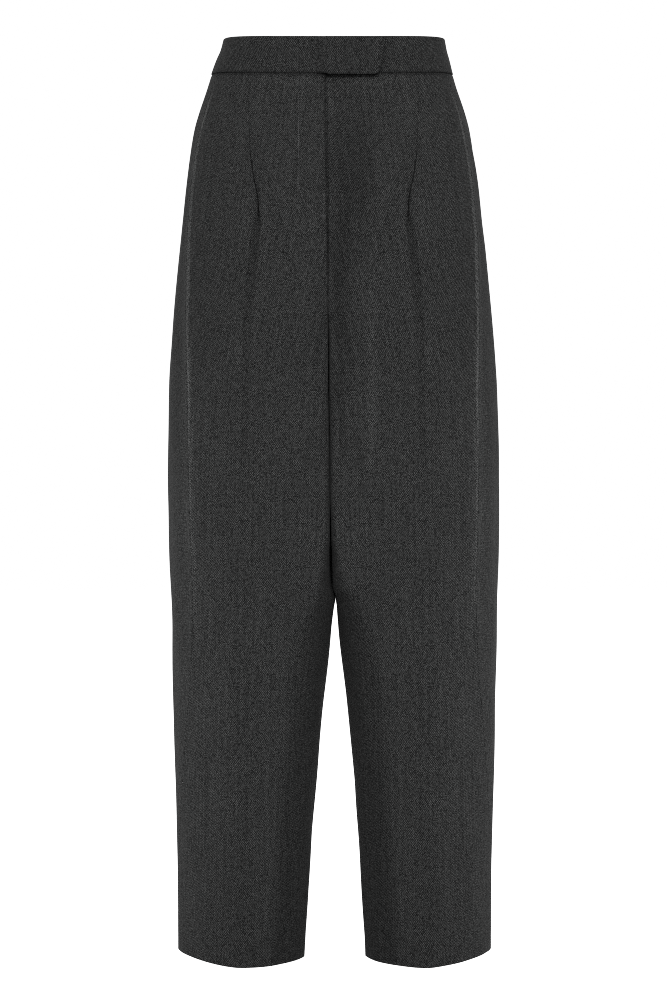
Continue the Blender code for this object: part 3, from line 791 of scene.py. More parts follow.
@dataclass(frozen=True)
class WoolTwill:
    """Charcoal melange wool: dark and pale fibres spun together and woven as a twill.

    wander and waver are each a noise's scale and how far it moves the ribs' phase.  warp,
    weft and heather are each a noise's two scales, across and down the cloth, and its swing.
    """

    name: str
    lean: int
    dark: tuple[float, float, float] = (0.0010, 0.0010, 0.0011)
    pale: tuple[float, float, float] = (0.060, 0.061, 0.0605)
    wale: float = 1.82
    slope: float = 0.64
    yarn: tuple[float, float] = (0.8, 1.05)
    ribs: tuple[float, float] = (0.52, 0.30)
    wander: tuple[float, float] = (0.015, 8.0)
    waver: tuple[float, float] = (0.33, 3.6)
    fleck: float = 0.82
    warp: tuple[float, float, float] = (0.40, 0.010, 1.04)
    weft: tuple[float, float, float] = (0.03, 0.40, 0.24)
    heather: tuple[float, float, float] = (0.02, 0.012, 0.20)
    mean: float = 0.235
    relief: tuple[float, float] = (0.10, 0.0002)

    def wales(self, nodes: "Nodes", cloth: bpy.types.NodeSocket, lean: int,
              swing: float) -> bpy.types.NodeSocket:
        """Slanting ribs: 1 plus a sine wave along the slant, whose phase wanders a little.

        Args:
            nodes: The material.
            cloth: The cloth's coordinates in millimetres.
            lean: 1 or -1, the way the ribs lean.
            swing: The wave's height.

        Returns:
            The ribs, about 1.
        """
        split = nodes.tree.nodes.new("ShaderNodeSeparateXYZ")
        nodes.join(cloth, split.inputs[0])
        turn = 2 * math.pi / self.wale
        across = nodes.math("MULTIPLY", split.outputs[0], lean * turn * math.cos(self.slope))
        down = nodes.math("MULTIPLY", split.outputs[1], turn * math.sin(self.slope))
        wander = nodes.math("MULTIPLY", nodes.noise(cloth, self.wander[0]), self.wander[1])
        waver = nodes.math("MULTIPLY", nodes.noise(cloth, self.waver[0], 1.0), self.waver[1])
        wander = nodes.math("ADD", wander, waver)
        phase = nodes.math("ADD", nodes.math("ADD", across, down), wander)
        wave = nodes.math("MULTIPLY", nodes.math("SINE", phase), swing)
        return nodes.math("ADD", wave, 1.0)

    def uneven(self, nodes: "Nodes", cloth: bpy.types.NodeSocket, across: float, down: float,
               swing: float) -> bpy.types.NodeSocket:
        """Soft noise about 1, stretched along one thread direction or the other."""
        soft = nodes.noise(nodes.scaled(cloth, (across, down, 1.0)), 1.0, 3.0)
        return nodes.math("ADD", nodes.math("MULTIPLY", soft, swing), 1.0 - swing / 2)

    def material(self) -> bpy.types.Material:
        """The finish, laid out on the cloth's own coordinates in millimetres.

        The share of pale fibre is a product: the twill's ribs, fainter ribs the other way,
        random cells of a yarn's size, streaks of warp and weft, a broad heathering, and the
        painted highlight and shade carried on the mesh.

        Returns:
            The material.
        """
        nodes = Nodes(self.name)
        cut = nodes.tree.nodes.new("ShaderNodeUVMap")
        cut.uv_map = "cut"
        cloth = nodes.scaled(cut.outputs[0], (1000.0, 1000.0, 1.0))
        random = nodes.math("MULTIPLY", nodes.cells(cloth, self.yarn), 2 * self.fleck)
        fibre = nodes.math("ADD", random, 1.0 - self.fleck)
        shade = nodes.math("MULTIPLY", fibre, self.mean)
        # The mesh's painted highlight (above 0) and painted shade (below 0) scale the colour.
        edge = nodes.tree.nodes.new("ShaderNodeAttribute")
        edge.attribute_name = "pressed"
        painted_factor = nodes.math("ADD", edge.outputs["Fac"], 1.0)
        for factor in (painted_factor, self.wales(nodes, cloth, self.lean, self.ribs[0]),
                       self.wales(nodes, cloth, -self.lean, self.ribs[1]),
                       self.uneven(nodes, cloth, *self.warp),
                       self.uneven(nodes, cloth, *self.weft),
                       self.uneven(nodes, cloth, *self.heather)):
            shade = nodes.math("MULTIPLY", shade, factor)
        colour = nodes.mix(shade, (*self.dark, 1.0), (*self.pale, 1.0))
        nodes.join(colour, nodes.shader.inputs["Base Color"])
        nodes.bump(shade, *self.relief)
        nodes.set(Roughness=0.92, Sheen_Weight=0.015, Sheen_Roughness=0.5)
        nodes.set(Specular_IOR_Level=0.03)
        return nodes.material


@dataclass(frozen=True)
class Plain:
    """A small part's finish: one colour with fine noise in it, and its gloss."""

    name: str
    colour: tuple[float, float, float]
    roughness: float
    metallic: float = 0.0
    grain: float = 900.0
    depth: float = 0.3
    relief: tuple[float, float] = (0.1, 0.0001)

    def material(self) -> bpy.types.Material:
        """The finish, on the object's coordinates: noise varies the colour and the surface.

        Returns:
            The material.
        """
        nodes = Nodes(self.name)
        place = nodes.tree.nodes.new("ShaderNodeTexCoord")
        grain = nodes.noise(place.outputs["Object"], self.grain, 3.0)
        dark = tuple(c * (1 - self.depth) for c in self.colour)
        pale = tuple(min(c * (1 + self.depth), 1.0) for c in self.colour)
        nodes.join(nodes.mix(grain, (*dark, 1.0), (*pale, 1.0)),
                   nodes.shader.inputs["Base Color"])
        nodes.bump(grain, *self.relief)
        nodes.set(Roughness=self.roughness, Metallic=self.metallic)
        return nodes.material


@dataclass
class Wardrobe:
    """The garment's finishes, made once."""

    right_cloth: bpy.types.Material = field(
        default_factory=lambda: WoolTwill("wool_twill_right", 1).material())
    left_cloth: bpy.types.Material = field(
        default_factory=lambda: WoolTwill("wool_twill_left", -1).material())
    band_cloth: bpy.types.Material = field(
        default_factory=lambda: WoolTwill("wool_band", 1, mean=0.205).material())
    thread: bpy.types.Material = field(
        default_factory=lambda: Plain("thread", (0.06, 0.06, 0.062), 0.6).material())
    tack: bpy.types.Material = field(
        default_factory=lambda: Plain("tack_thread", (0.015, 0.015, 0.016), 0.8).material())
    tape: bpy.types.Material = field(
        default_factory=lambda: Plain("zip_tape_weave", (0.02, 0.02, 0.021), 0.8).material())
    teeth: bpy.types.Material = field(
        default_factory=lambda: Plain("zip_teeth", (0.05, 0.05, 0.052), 0.4).material())
    steel: bpy.types.Material = field(
        default_factory=lambda: Plain("satin_nickel", (0.45, 0.45, 0.46), 0.35, 1.0,
                                      depth=0.08).material())

    def cloth(self, side: Side) -> bpy.types.Material:
        """The wool of one side; its wales lean the other way on the other leg."""
        return self.right_cloth if side is Side.RIGHT else self.left_cloth


def dress(obj: bpy.types.Object, material: bpy.types.Material, slot: str,
          *nodes: str) -> bpy.types.Object:
    """Gives a piece its finish and its body, and hides the solids that it stands for.

    Args:
        obj: The piece.
        material: Its finish.
        slot: Not used.
        nodes: The CAD nodes that it replaces.

    Returns:
        The piece.
    """
    obj.data.materials.append(material)
    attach(obj, BODY)
    if nodes:
        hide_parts(*nodes)
    LOG.info("%s: %d faces", obj.name, len(obj.data.polygons))
    return obj


# ------------------------------------------------------------------ leg panels
@dataclass(frozen=True)
class PaintedLight:
    """A leg panel's painted light: painted highlight above 0, painted shade below 0.

    0 is the plain cloth.  A reach is half of a stripe's width along the tape, and a pair of
    drops is where a tone comes in or goes out.
    """

    seam: float = 1.25
    seam_half: float = 5.5
    seam_narrowing: float = 2.6
    seam_narrows: tuple[float, float] = (280.0, 340.0)
    seam_edge: float = 1.6
    seam_in: tuple[float, float] = (45.0, 80.0)
    seam_weakening: float = 0.75
    seam_weakens: tuple[float, float] = (400.0, 470.0)
    seam_out: tuple[float, float] = (500.0, 590.0)
    thigh: float = 0.66
    thigh_reach: float = 12.0
    thigh_in: tuple[float, float] = (290.0, 400.0)
    thigh_out: tuple[float, float] = (560.0, 700.0)
    back_seam: float = 0.26
    back_seam_reach: float = 22.0
    back_thigh: float = 0.15
    back_thigh_reach: float = 20.0
    waist: float = -0.45
    waist_out: tuple[float, float] = (BAND_BOTTOM + 0.8, BAND_BOTTOM + 3.2)
    pleat: float = 0.12
    pleat_reach: float = 7.0
    pleat_in: tuple[float, float] = (90.0, 150.0)
    pleat_out: tuple[float, float] = (360.0, 440.0)
    fly: float = 0.40
    fly_middle: float = 0.6
    fly_reach: float = 1.8
    fly_out: tuple[float, float] = (290.0, 330.0)

    def along_seam(self, face: Face, drop: np.ndarray, off: np.ndarray) -> np.ndarray:
        """A painted highlight along the side seam's edge, and a broad painted highlight on the
        thigh.

        On a front the edge is even and ends sharply; on a back both are raised cosines.

        Args:
            face: The face of the garment.
            drop: The rows' drops, as a column.
            off: Distances from the seam along the tape.

        Returns:
            The tone.
        """
        thigh = span(drop, self.thigh_in, self.thigh_out)
        seam = ease(drop, *self.seam_in)
        seam = seam * (1 - self.seam_weakening * ease(drop, *self.seam_weakens))
        seam = seam * (1 - ease(drop, *self.seam_out))
        if face is Face.BACK:
            return (seam * self.back_seam * bell(off / self.back_seam_reach)
                    + thigh * self.back_thigh * bell(off / self.back_thigh_reach))
        half = self.seam_half - self.seam_narrowing * ease(drop, *self.seam_narrows)
        return (seam * self.seam * (1 - ease(off, half, half + self.seam_edge))
                + thigh * self.thigh * bell(off / self.thigh_reach))

    def at_waist(self, drop: np.ndarray) -> np.ndarray:
        """Painted shade in the waist seam."""
        return self.waist * (1 - ease(drop, *self.waist_out))

    def along_pleat(self, drop: np.ndarray, off: np.ndarray) -> np.ndarray:
        """Painted shade along a front's pleat, at signed distances from it."""
        return self.pleat * bell(off / self.pleat_reach) * span(drop, self.pleat_in,
                                                                self.pleat_out)

    def beside_fly(self, drop: np.ndarray, past: np.ndarray) -> np.ndarray:
        """A painted shadow beside the fly, at distances past its edge."""
        line = bell((past - self.fly_middle) / self.fly_reach) * (1 - ease(drop, *self.fly_out))
        return self.fly * line


@dataclass
class LegPanel:
    """One leg panel, cut in one piece from the waist seam to the turned-up hem.

    crowds are the places where rows lie closer: a drop, how far round it, and how much.
    """

    side: Side
    face: Face
    cloth: float = 0.45
    edge: TurnedEdge = field(default_factory=TurnedEdge)
    tuck: Tuck = field(default_factory=Tuck)
    # Painted highlight and shade for the panel's cloth colour.
    painting: PaintedLight = field(default_factory=PaintedLight)
    cut: tuple[float, float] = (0.32, 1.10)
    cut_area: float = 0.27
    # Rows, from the waist to the hem.
    top_turn: float = 8.0
    top_rows: tuple[float, ...] = (1.5, 2.7, 3.9)
    face_inset: float = 5.0
    row_step: float = 4.1
    crowds: tuple[tuple[float, float, float], ...] = (
        (222.0, 48.0, 1.0), (616.0, 44.0, 1.6), (FORK, 34.0, 5.0))
    hem_turn: float = 16.0
    hem_rows: tuple[float, ...] = (0.2, 0.45, 0.7, 1.0)
    hem_clear: float = 2.4
    back_rise: float = 0.7
    back_under: float = 0.5
    back_under_reach: float = 4.0
    # Columns, from seam to seam.
    columns: tuple[int, int] = (34, 46)
    tuck_in: tuple[float, float] = (BAND_BOTTOM + 0.9, BAND_BOTTOM + 7.0)
    clipped: float = 0.25
    clipped_reach: tuple[float, float] = (2.0, 40.0)
    turned_from: float = 1.2
    side_shallower: float = 0.45
    side_shallows: tuple[float, float] = (500.0, 600.0)
    undrawn_in: tuple[float, float] = (CROTCH_TOP - 20, CROTCH_TOP - 5)
    undrawn_out: tuple[float, float] = (345.0, 365.0)
    met_most: float = 1.2
    met_reach: float = 4.0
    met_in: tuple[float, float] = (CROTCH_TOP - 12, CROTCH_TOP - 4)
    met_out: tuple[float, float] = (FORK + 4, FORK + 16)
    # How the cloth hangs.
    drape_depths: tuple[float, float] = (10.0, 50.0)
    lumps_in: tuple[float, float] = (BAND_BOTTOM, BAND_BOTTOM + 30.0)
    lumps_clear: tuple[float, float] = (1.0, 26.0)
    ridge: float = 1.5
    ridge_reach: float = 9.0
    ridge_in: tuple[float, float] = (60.0, 200.0)
    ridge_out: tuple[float, float] = (480.0, 900.0)
    # The left front's edge under the fly and the tab.
    fly_underlap: float = 4.0
    underlap_reach: float = 30.0
    underlap_end: tuple[float, float] = (187.0, 203.0)
    fly_step: float = 1.6
    step_reach: tuple[float, float] = (6.0, 34.0)
    step_end: tuple[float, float] = (190.0, 211.0)
    fly_groove: tuple[float, float, float] = (0.6, 2.2, 1.35)
    groove_end: tuple[float, float] = (300.0, 330.0)
    tab_hollow: float = 2.6
    tab_hollow_drops: tuple[float, float] = (39.5, 46.5)
    tab_hollow_x: tuple[float, float] = (43.0, 51.0)

    @property
    def name(self) -> str:
        """The piece's name, as on its CAD nodes."""
        return f"{self.face.name}_{self.side.name}".lower()

    @property
    def outward(self) -> int:
        """1 where rows crossed with columns point out of the garment, else -1."""
        return self.side.value

    @property
    def top(self) -> float:
        """The drop of the fold at the waist; a back's goes up behind the band, to close it."""
        return BAND_BOTTOM + SEAM_GAP - (self.face is Face.BACK) * self.back_rise

    def head(self) -> tuple[np.ndarray, np.ndarray]:
        """Drops and depths of the rows at the waist: the allowance, the fold and its foot.

        Returns:
            Drops and depths, one a row.
        """
        under = (self.face is Face.BACK) * self.back_under
        radius = self.edge.radius
        distance, depth = self.edge.profile()
        distance = np.where(distance > radius, distance * self.top_turn / self.edge.allowance,
                            distance)
        turned = depth > 0.01
        sinking = np.where(depth > radius, 1.0, 1 - ease(distance, 0.0, self.back_under_reach))
        foot = np.array(self.top_rows)
        foot_depth = under * (1 - ease(foot, 0.0, self.back_under_reach))
        return (np.concatenate((self.top + distance[turned], self.top + foot)),
                np.concatenate(((depth + under * sinking)[turned], foot_depth)))

    def rows(self) -> tuple[np.ndarray, np.ndarray]:
        """Drops of the rows, and how deep each lies where the cloth is turned in.

        The rows come down from the waist's fold, down the panel, round the hem's fold and up
        again inside.  Down the panel they are spread by a weight, which is greater at crowds.

        Returns:
            Drops and depths, one a row.
        """
        head, head_depth = self.head()
        step = 0.5
        line = np.arange(self.top + self.face_inset, HEM - self.face_inset, step)
        weight = 1.0
        for drop, reach, extra in self.crowds:
            weight = weight + bell((line - drop) / reach) * extra
        weight = np.cumsum(weight)
        count = int(weight[-1] * step / self.row_step)
        body = np.interp(np.linspace(weight[0], weight[-1], count), weight, line)
        turn = np.linspace(0.0, math.pi, self.edge.steps)
        inside = np.array(self.hem_rows)
        radius = self.edge.radius
        hem = np.concatenate(((HEM - self.hem_clear,), HEM - radius * (1 - np.sin(turn)),
                              HEM - self.hem_turn * inside))
        hem_depth = np.concatenate(((0.0,), radius * (1 - np.cos(turn)),
                                    np.full(len(inside), 2 * radius)))
        return (np.concatenate((head, body, hem)),
                np.concatenate((head_depth, 0 * body, hem_depth)))

    def seams(self, tape: Tape) -> tuple[np.ndarray, np.ndarray, np.ndarray, np.ndarray]:
        """The columns at the panel's two edges.

        Along the crotch curve the middle edge isn't drawn in, and its allowance is clipped
        near the fork.  The side seam's edge is shallower on the leg.

        Args:
            tape: The tape at the panel's rows.

        Returns:
            Lengths at the first edge and at the last, then depths at each.
        """
        drop, edge = tape.drop, self.edge
        front = self.face is Face.FRONT
        distance, depth = edge.profile()
        below_fork = SEAM_GAP / 2 * (drop >= FORK)
        start = below_fork if front else tape.seam() + SEAM_GAP / 2
        end = tape.seam() - SEAM_GAP / 2 if front else tape.length[:, -1:] - below_fork
        away = ease(np.abs(drop - FORK), *self.clipped_reach)
        near_fork = self.clipped + (1 - self.clipped) * away
        whole = np.ones_like(drop)
        turned = depth > self.turned_from * edge.radius
        shares = (near_fork, whole) if front else (whole, near_fork)
        first, last = (distance * np.where(turned, share, whole) for share in shares)
        shallow = 1 - self.side_shallower * ease(drop, *self.side_shallows)
        drawn = edge.pull * (1 - ease(distance, 0.0, edge.pull_reach))
        depths = [depth - span(drop, self.undrawn_in, self.undrawn_out) * drawn,
                  depth * shallow]
        if not front:
            depths.reverse()
        return start + first, (end - last)[:, ::-1], depths[0], depths[1][:, ::-1]

    def section(self, tape: Tape) -> tuple[np.ndarray, np.ndarray]:
        """Lengths along the tape of the panel's columns, and their depth from edges and tuck.

        Args:
            tape: The tape at the panel's rows.

        Returns:
            Lengths and depths, rows by columns.
        """
        drop, front = tape.drop, self.face is Face.FRONT
        first, last, first_depth, last_depth = self.seams(tape)
        table = PLEAT if front else DART
        fold = tape.at_x(table.read("across", drop), self.face)
        least = 1e-3
        place, sunk = self.tuck.profile(
            drop, np.maximum(table.read("depth", drop) * ease(drop, *self.tuck_in), least),
            table.read("reach", drop), table.read("sewn", drop))
        middle = []
        for low, high, count in zip((first[:, -1:], fold + place[:, -1:]),
                                    (fold + place[:, :1], last[:, :1]),
                                    self.columns if front else self.columns[::-1]):
            middle.append(low + (high - low) * np.linspace(0, 1, count + 2)[1:-1])
        return (np.concatenate((first, middle[0], fold + place, middle[1], last), axis=1),
                np.concatenate((first_depth, 0 * middle[0], sunk, 0 * middle[1], last_depth),
                               axis=1))

    def folds(self) -> list[Fold]:
        """The garment's folds that cross this panel."""
        return [fold for fold in FOLDS if fold.face is self.face and self.side in fold.sides]

    def grain(self, tape: Tape) -> np.ndarray:
        """Length along the tape of the panel's grain line, which runs down its crest."""
        crest = "front_crest" if self.face is Face.FRONT else "back_crest"
        return tape.at_x(DEPTH.read(crest, tape.drop), self.face)

    def hang(self, tape: Tape, length: np.ndarray, x: np.ndarray, y: np.ndarray) -> np.ndarray:
        """Depth of the cloth's own folds: the drape, the lumps and the side seam's ridge.

        Args:
            tape: The tape at the rows' drops.
            length: Lengths along it, rows by columns.
            x: Places across, at those lengths.
            y: Places in depth.

        Returns:
            Depths, rows by columns.
        """
        drop, off = tape.drop, length - tape.seam()
        facing = ease(self.face.value * y, *self.drape_depths) * tape.facing(length)
        drape = sum(fold.depth * fold.shape(drop, x) for fold in self.folds())
        seed = 10 * (self.side.value + 2) + self.face.value + 1
        lumps = Lumps(seed).sunk(drop, length - self.grain(tape))
        settled = ease(drop, *self.lumps_in) * ease(np.abs(off), *self.lumps_clear)
        ridge = self.ridge * bell(off / self.ridge_reach) * ease(drop, *self.ridge_in)
        ridge = ridge * (1 - ease(drop, *self.ridge_out))
        return facing * drape + settled * lumps - ridge

    def lap(self, drop: np.ndarray, x: np.ndarray, y: np.ndarray,
            edge_x: np.ndarray) -> tuple[np.ndarray, np.ndarray]:
        """The left front's edge, carried under the right front's and sunk behind it.

        A groove follows the overlap's edge, and under the waistband's tab the cloth curves
        in to the waist seam.

        Args:
            drop: The rows' drops, as a column.
            x: Places across.
            y: Places in depth.
            edge_x: Where the fronts meet in each row.

        Returns:
            The moved places across and in depth.
        """
        past = x - edge_x
        reach = self.fly_underlap * (1 - ease(drop, *self.underlap_end))
        sink = self.fly_step * (1 - ease(drop, *self.step_end))
        sink = sink * (1 - ease(past, *self.step_reach))
        x = x - reach * (1 - ease(past, 0.0, self.underlap_reach))
        centre, half, deep = self.fly_groove
        groove = deep * bell((x - edge_x - centre) / half)
        sink = sink + groove * (1 - ease(drop, *self.groove_end))
        under = (1 - ease(drop, *self.tab_hollow_drops)) * (1 - ease(x, *self.tab_hollow_x))
        return x, y + sink + self.tab_hollow * under

    def surface(self, tape: Tape, length: np.ndarray, depth: np.ndarray) -> np.ndarray:
        """The panel's outer face at lengths along a tape.

        Args:
            tape: The tape at the rows' drops.
            length: Lengths along it, rows by columns.
            depth: Depths from edges and tuck.

        Returns:
            Points in the garment's axes, in millimetres.
        """
        x, y = tape.place(length, 0.0)
        x, y = tape.place(length, depth + self.hang(tape, length, x, y))
        if self.side is Side.LEFT and self.face is Face.FRONT:
            x, y = self.lap(tape.drop, x, y, tape.x[:, :1])
        return GARMENT.points(self.side, tape.drop, x, y)

    def met(self, tape: Tape, points: np.ndarray) -> np.ndarray:
        """Draws the edge along the crotch curve out to the middle, where the halves meet.

        Args:
            tape: The tape at the panel's rows.
            points: The panel's outer face.

        Returns:
            The face with its inner edge at the middle in every row of the curve.
        """
        inward = points[..., 0] * self.side.value
        nearest = inward.min(axis=1, keepdims=True)
        short = np.clip(nearest - tape.x.min(axis=1, keepdims=True), 0.0, self.met_most)
        curve = span(tape.drop, self.met_in, self.met_out)
        moved = points.copy()
        moved[..., 0] -= self.side.value * short * curve * (
            1 - ease(inward - nearest, 0.0, self.met_reach))
        return moved

    def build(self, wardrobe: Wardrobe) -> bpy.types.Object:
        """Makes the panel, dressed.

        Args:
            wardrobe: The finishes.

        Returns:
            The piece.
        """
        drop, turned = self.rows()
        tape = Tape(self.side, drop)
        length, depth = self.section(tape)
        outer = self.met(tape, self.surface(tape, length, depth + turned[:, None]))
        inner = outer - normals(outer, self.outward) * self.cloth
        uv = np.stack((length - self.grain(tape), -tape.drop + 0 * length), axis=-1) * MM
        obj = shell(self.name + "_cloth", outer, inner, uv, self.outward,
                    self.pressed(tape, length))
        solids = [f"{self.name}_{part}" for part in ("upper", "middle", "lower")]
        return dress(obj, wardrobe.cloth(self.side), "wool", *solids)

    def pressed(self, tape: Tape, length: np.ndarray) -> np.ndarray:
        """Painted highlight and shade: at the seams, in the folds, along the pleat, by the fly.

        Args:
            tape: The tape at the rows' drops.
            length: Lengths along it, rows by columns.

        Returns:
            The tone, rows by columns.
        """
        drop, painting = tape.drop, self.painting
        tone = painting.along_seam(self.face, drop, np.abs(tape.seam() - length))
        if self.face is Face.BACK:
            return tone + painting.at_waist(drop)
        x, _ = tape.place(length, 0.0)
        tone = tone + sum(fold.tone * fold.shape(drop, x) for fold in self.folds())
        pleat = tape.at_x(PLEAT.read("across", drop), Face.FRONT)
        tone = tone - painting.along_pleat(drop, length - pleat)
        lapped = 0.0
        if self.side is Side.LEFT:
            lapped = self.fly_underlap * (1 - ease(drop, *self.underlap_end))
        return tone + painting.at_waist(drop) - painting.beside_fly(drop, length - lapped)

    def sample(self, drop: np.ndarray, length: np.ndarray) -> tuple[np.ndarray, np.ndarray]:
        """Points on the panel's face and their outward normals, for stitches.

        Args:
            drop: One drop a point.
            length: One length along the tape a point.

        Returns:
            Points and normals, each points by three.
        """
        def face_at(down: float, along: float) -> np.ndarray:
            """The face a little further down or along."""
            tape = Tape(self.side, drop + down)
            return self.surface(tape, (length + along)[:, None], 0.0)[:, 0]

        here = face_at(0.0, 0.0)
        normal = np.cross(face_at(1.0, 0.0) - here, face_at(0.0, 1.0) - here) * self.outward
        return here, normal / np.linalg.norm(normal, axis=-1, keepdims=True)


# ------------------------------------------------------------------ waistband
@dataclass
class Waistband:
    """Half of the waistband, stiffened and pressed; the right half ends in the tab.

    girth and tab_length are rough lengths, used only to crowd columns at the ends.
    """

    side: Side
    proud: float = 0.9
    thick: float = 2.4
    least_thick: float = 0.04
    rounding: float = 1.1
    rim: tuple[float, ...] = (0.0, 0.03, 0.12, 0.28, 0.5, 0.75, 1.0, 1.3)
    rows: int = 22
    columns: int = 190
    girth: float = 300.0
    far: float = 9.0
    under_end: float = 1.5
    # The tab, and how the right half climbs over the fly to it.
    tab_columns: int = 46
    tab_length: float = 60.0
    tab_start: float = 12.0
    tab_flat: float = 1.0
    tab_reach: float = 50.0
    tab_lean: float = 6.0
    tab_lift: float = 4.6
    tab_drop: float = 1.6
    tab_drop_spread: float = 6.0
    tab_corner: float = 7.5
    tab_rise: float = 13.0
    # The stiffened cloth's faint waves.
    wave_seed: int = 7
    wave_height: float = 0.045
    wave_across: tuple[float, float] = (28.0, 80.0)
    wave_down: tuple[float, float] = (60.0, 160.0)
    # Painted shade at the band's foot, and a painted shadow on the left half by the tab's end.
    foot: float = -0.45
    foot_heights: tuple[float, float] = (0.6, 2.4)
    shadow: float = 0.5
    shadow_middle: float = 0.8
    shadow_reach: float = 2.6
    shadow_height: float = 30.0

    @property
    def name(self) -> str:
        """The piece's name, as on its CAD node."""
        return f"waistband_{self.side.name}".lower()

    @property
    def cut(self) -> tuple[float, float]:
        """Depth and length of the pressed strip; the right one is longer by the tab."""
        return (0.040, 0.460 if self.side is Side.RIGHT else 0.405)

    @property
    def tall(self) -> float:
        """The band's depth, from its top edge to the waist seam."""
        return BAND_BOTTOM - BAND_TOP

    def crowded(self, count: int, size: float) -> np.ndarray:
        """Fractions from 0 to 1 along a size, close together where both ends round off.

        Args:
            count: How many fractions lie between the two ends.
            size: The whole size, in millimetres.

        Returns:
            The fractions, rising.
        """
        rim = np.array(self.rim) * self.rounding / size
        return np.concatenate((rim, np.linspace(rim[-1], 1 - rim[-1], count + 2)[1:-1],
                               1 - rim[::-1]))

    def line(self, drop: np.ndarray) -> tuple[np.ndarray, np.ndarray, np.ndarray]:
        """The half's line round the waist, from the centre back to the tab or the front end.

        Args:
            drop: The rows' drops.

        Returns:
            Places across and in depth, and distances from an end, each rows by columns.
        """
        tape, right = Tape(self.side, drop), self.side is Side.RIGHT
        first, last = tape.length[:, -1:], self.tab_start if right else self.under_end
        whole = self.crowded(self.columns, self.girth)
        if right:
            whole = whole[:-len(self.rim)]
        length = first + (last - first) * whole
        away = np.minimum(self.far, first - length)
        return (*tape.place(length, 0.0), away if right else np.minimum(away, length - last))

    def tab(self, drop: np.ndarray, height: np.ndarray,
            begin: np.ndarray) -> tuple[np.ndarray, np.ndarray, np.ndarray]:
        """The tab's line along the left half's, to its end with a rounded lower corner.

        Args:
            drop: The rows' drops.
            height: Their heights above the waist seam, as a column.
            begin: Where the tab begins in each row, on the left half.

        Returns:
            Places across and in depth, and distances from the end, each rows by columns.
        """
        past = np.maximum(self.tab_corner - height, 0.0)
        cut = self.tab_corner - np.sqrt(self.tab_corner ** 2 - past ** 2)
        end = self.tab_reach + self.tab_lean * height / self.tall - cut
        share = self.crowded(self.tab_columns, self.tab_length)[len(self.rim):]
        across = begin + (end - begin) * share
        left, half = Tape(Side.LEFT, drop), slice(0, Tape.POINTS // 2 + 1)
        return -across, rowwise(across, left.x[:, half], left.y[:, half]), end - across

    def pressed(self, height: np.ndarray, x: np.ndarray, y: np.ndarray) -> np.ndarray:
        """Painted shade at the band's foot, and a painted shadow beside the tab's end.

        Args:
            height: The rows' heights above the waist seam, as a column.
            x: Places across, rows by columns.
            y: Places in depth.

        Returns:
            The tone, rows by columns.
        """
        tone = self.foot * (1 - ease(height, *self.foot_heights)) + np.zeros_like(x)
        if self.side is Side.RIGHT:
            return tone
        past = x - self.tab_reach - self.tab_lean * height / self.tall
        beside = bell((past - self.shadow_middle) / self.shadow_reach)
        return tone - self.shadow * (y < 0) * beside * (height < self.shadow_height)

    def build(self, wardrobe: Wardrobe) -> bpy.types.Object:
        """Makes the half, dressed.

        The middle surface is the band's form.  Half the thickness, times the root of
        1 - (1 - d/r)² at a distance d from any edge nearer than the rounding r, goes to each
        side of it, so that the edges are half-round.

        Args:
            wardrobe: The finishes.

        Returns:
            The piece.
        """
        tall, value, right = self.tall, self.side.value, self.side is Side.RIGHT
        height = (self.crowded(self.rows, tall) * tall)[:, None]
        drop = BAND_BOTTOM - height
        x, y, away = self.line(drop[:, 0])
        fold = x.shape[1] - 1
        if right:
            parts = zip((x, y, away), self.tab(drop[:, 0], height, -x[:, -1:]))
            x, y, away = (np.concatenate(part, axis=1) for part in parts)
        along = np.gradient(np.stack((x, y), axis=-1), axis=1)
        along /= np.maximum(np.linalg.norm(along, axis=-1, keepdims=True), 1e-9)
        in_x, in_y = along[..., 1], -along[..., 0]
        edge = np.minimum(np.minimum(away, height), tall - height)
        near = np.clip(edge / self.rounding, 0.0, 1.0)
        half_thick = self.thick / 2 * np.maximum(np.sqrt(1 - (1 - near) ** 2),
                                                 self.least_thick)
        fly = PARTING.read("middle", drop)
        over = (y < 0) if right else 0 * x
        lift = self.tab_lift * over * ease(value * x, fly - self.tab_rise, fly - self.tab_flat)
        lower = self.tab_drop * over * ease(value * x, fly, fly + self.tab_drop_spread)
        lower = lower * (1 - height / tall)
        run = np.cumsum(np.hypot(*np.gradient(np.stack((x, y)), axis=2)), axis=1)
        lumps = Lumps(self.wave_seed + value, self.wave_height, across=self.wave_across,
                      down=self.wave_down)
        middle = self.proud - self.thick / 2 + lift - lumps.sunk(drop, run)
        grids = []
        for half_way in (half_thick, -half_thick):
            px, py = x - in_x * (middle + half_way), y - in_y * (middle + half_way)
            z = GARMENT.level(drop, px, py) - lower
            grids.append(np.stack((value * px, py, z), axis=-1))
        run = run - run[:, fold:fold + 1]
        level_run = np.where(np.arange(run.shape[1]) < fold, run.mean(axis=0), run)
        uv = np.stack((level_run, height + 0 * run), axis=-1) * MM
        obj = shell(self.name + "_cloth", *grids, uv, value, self.pressed(height, x, y))
        return dress(obj, wardrobe.band_cloth, "band_wool", self.name)


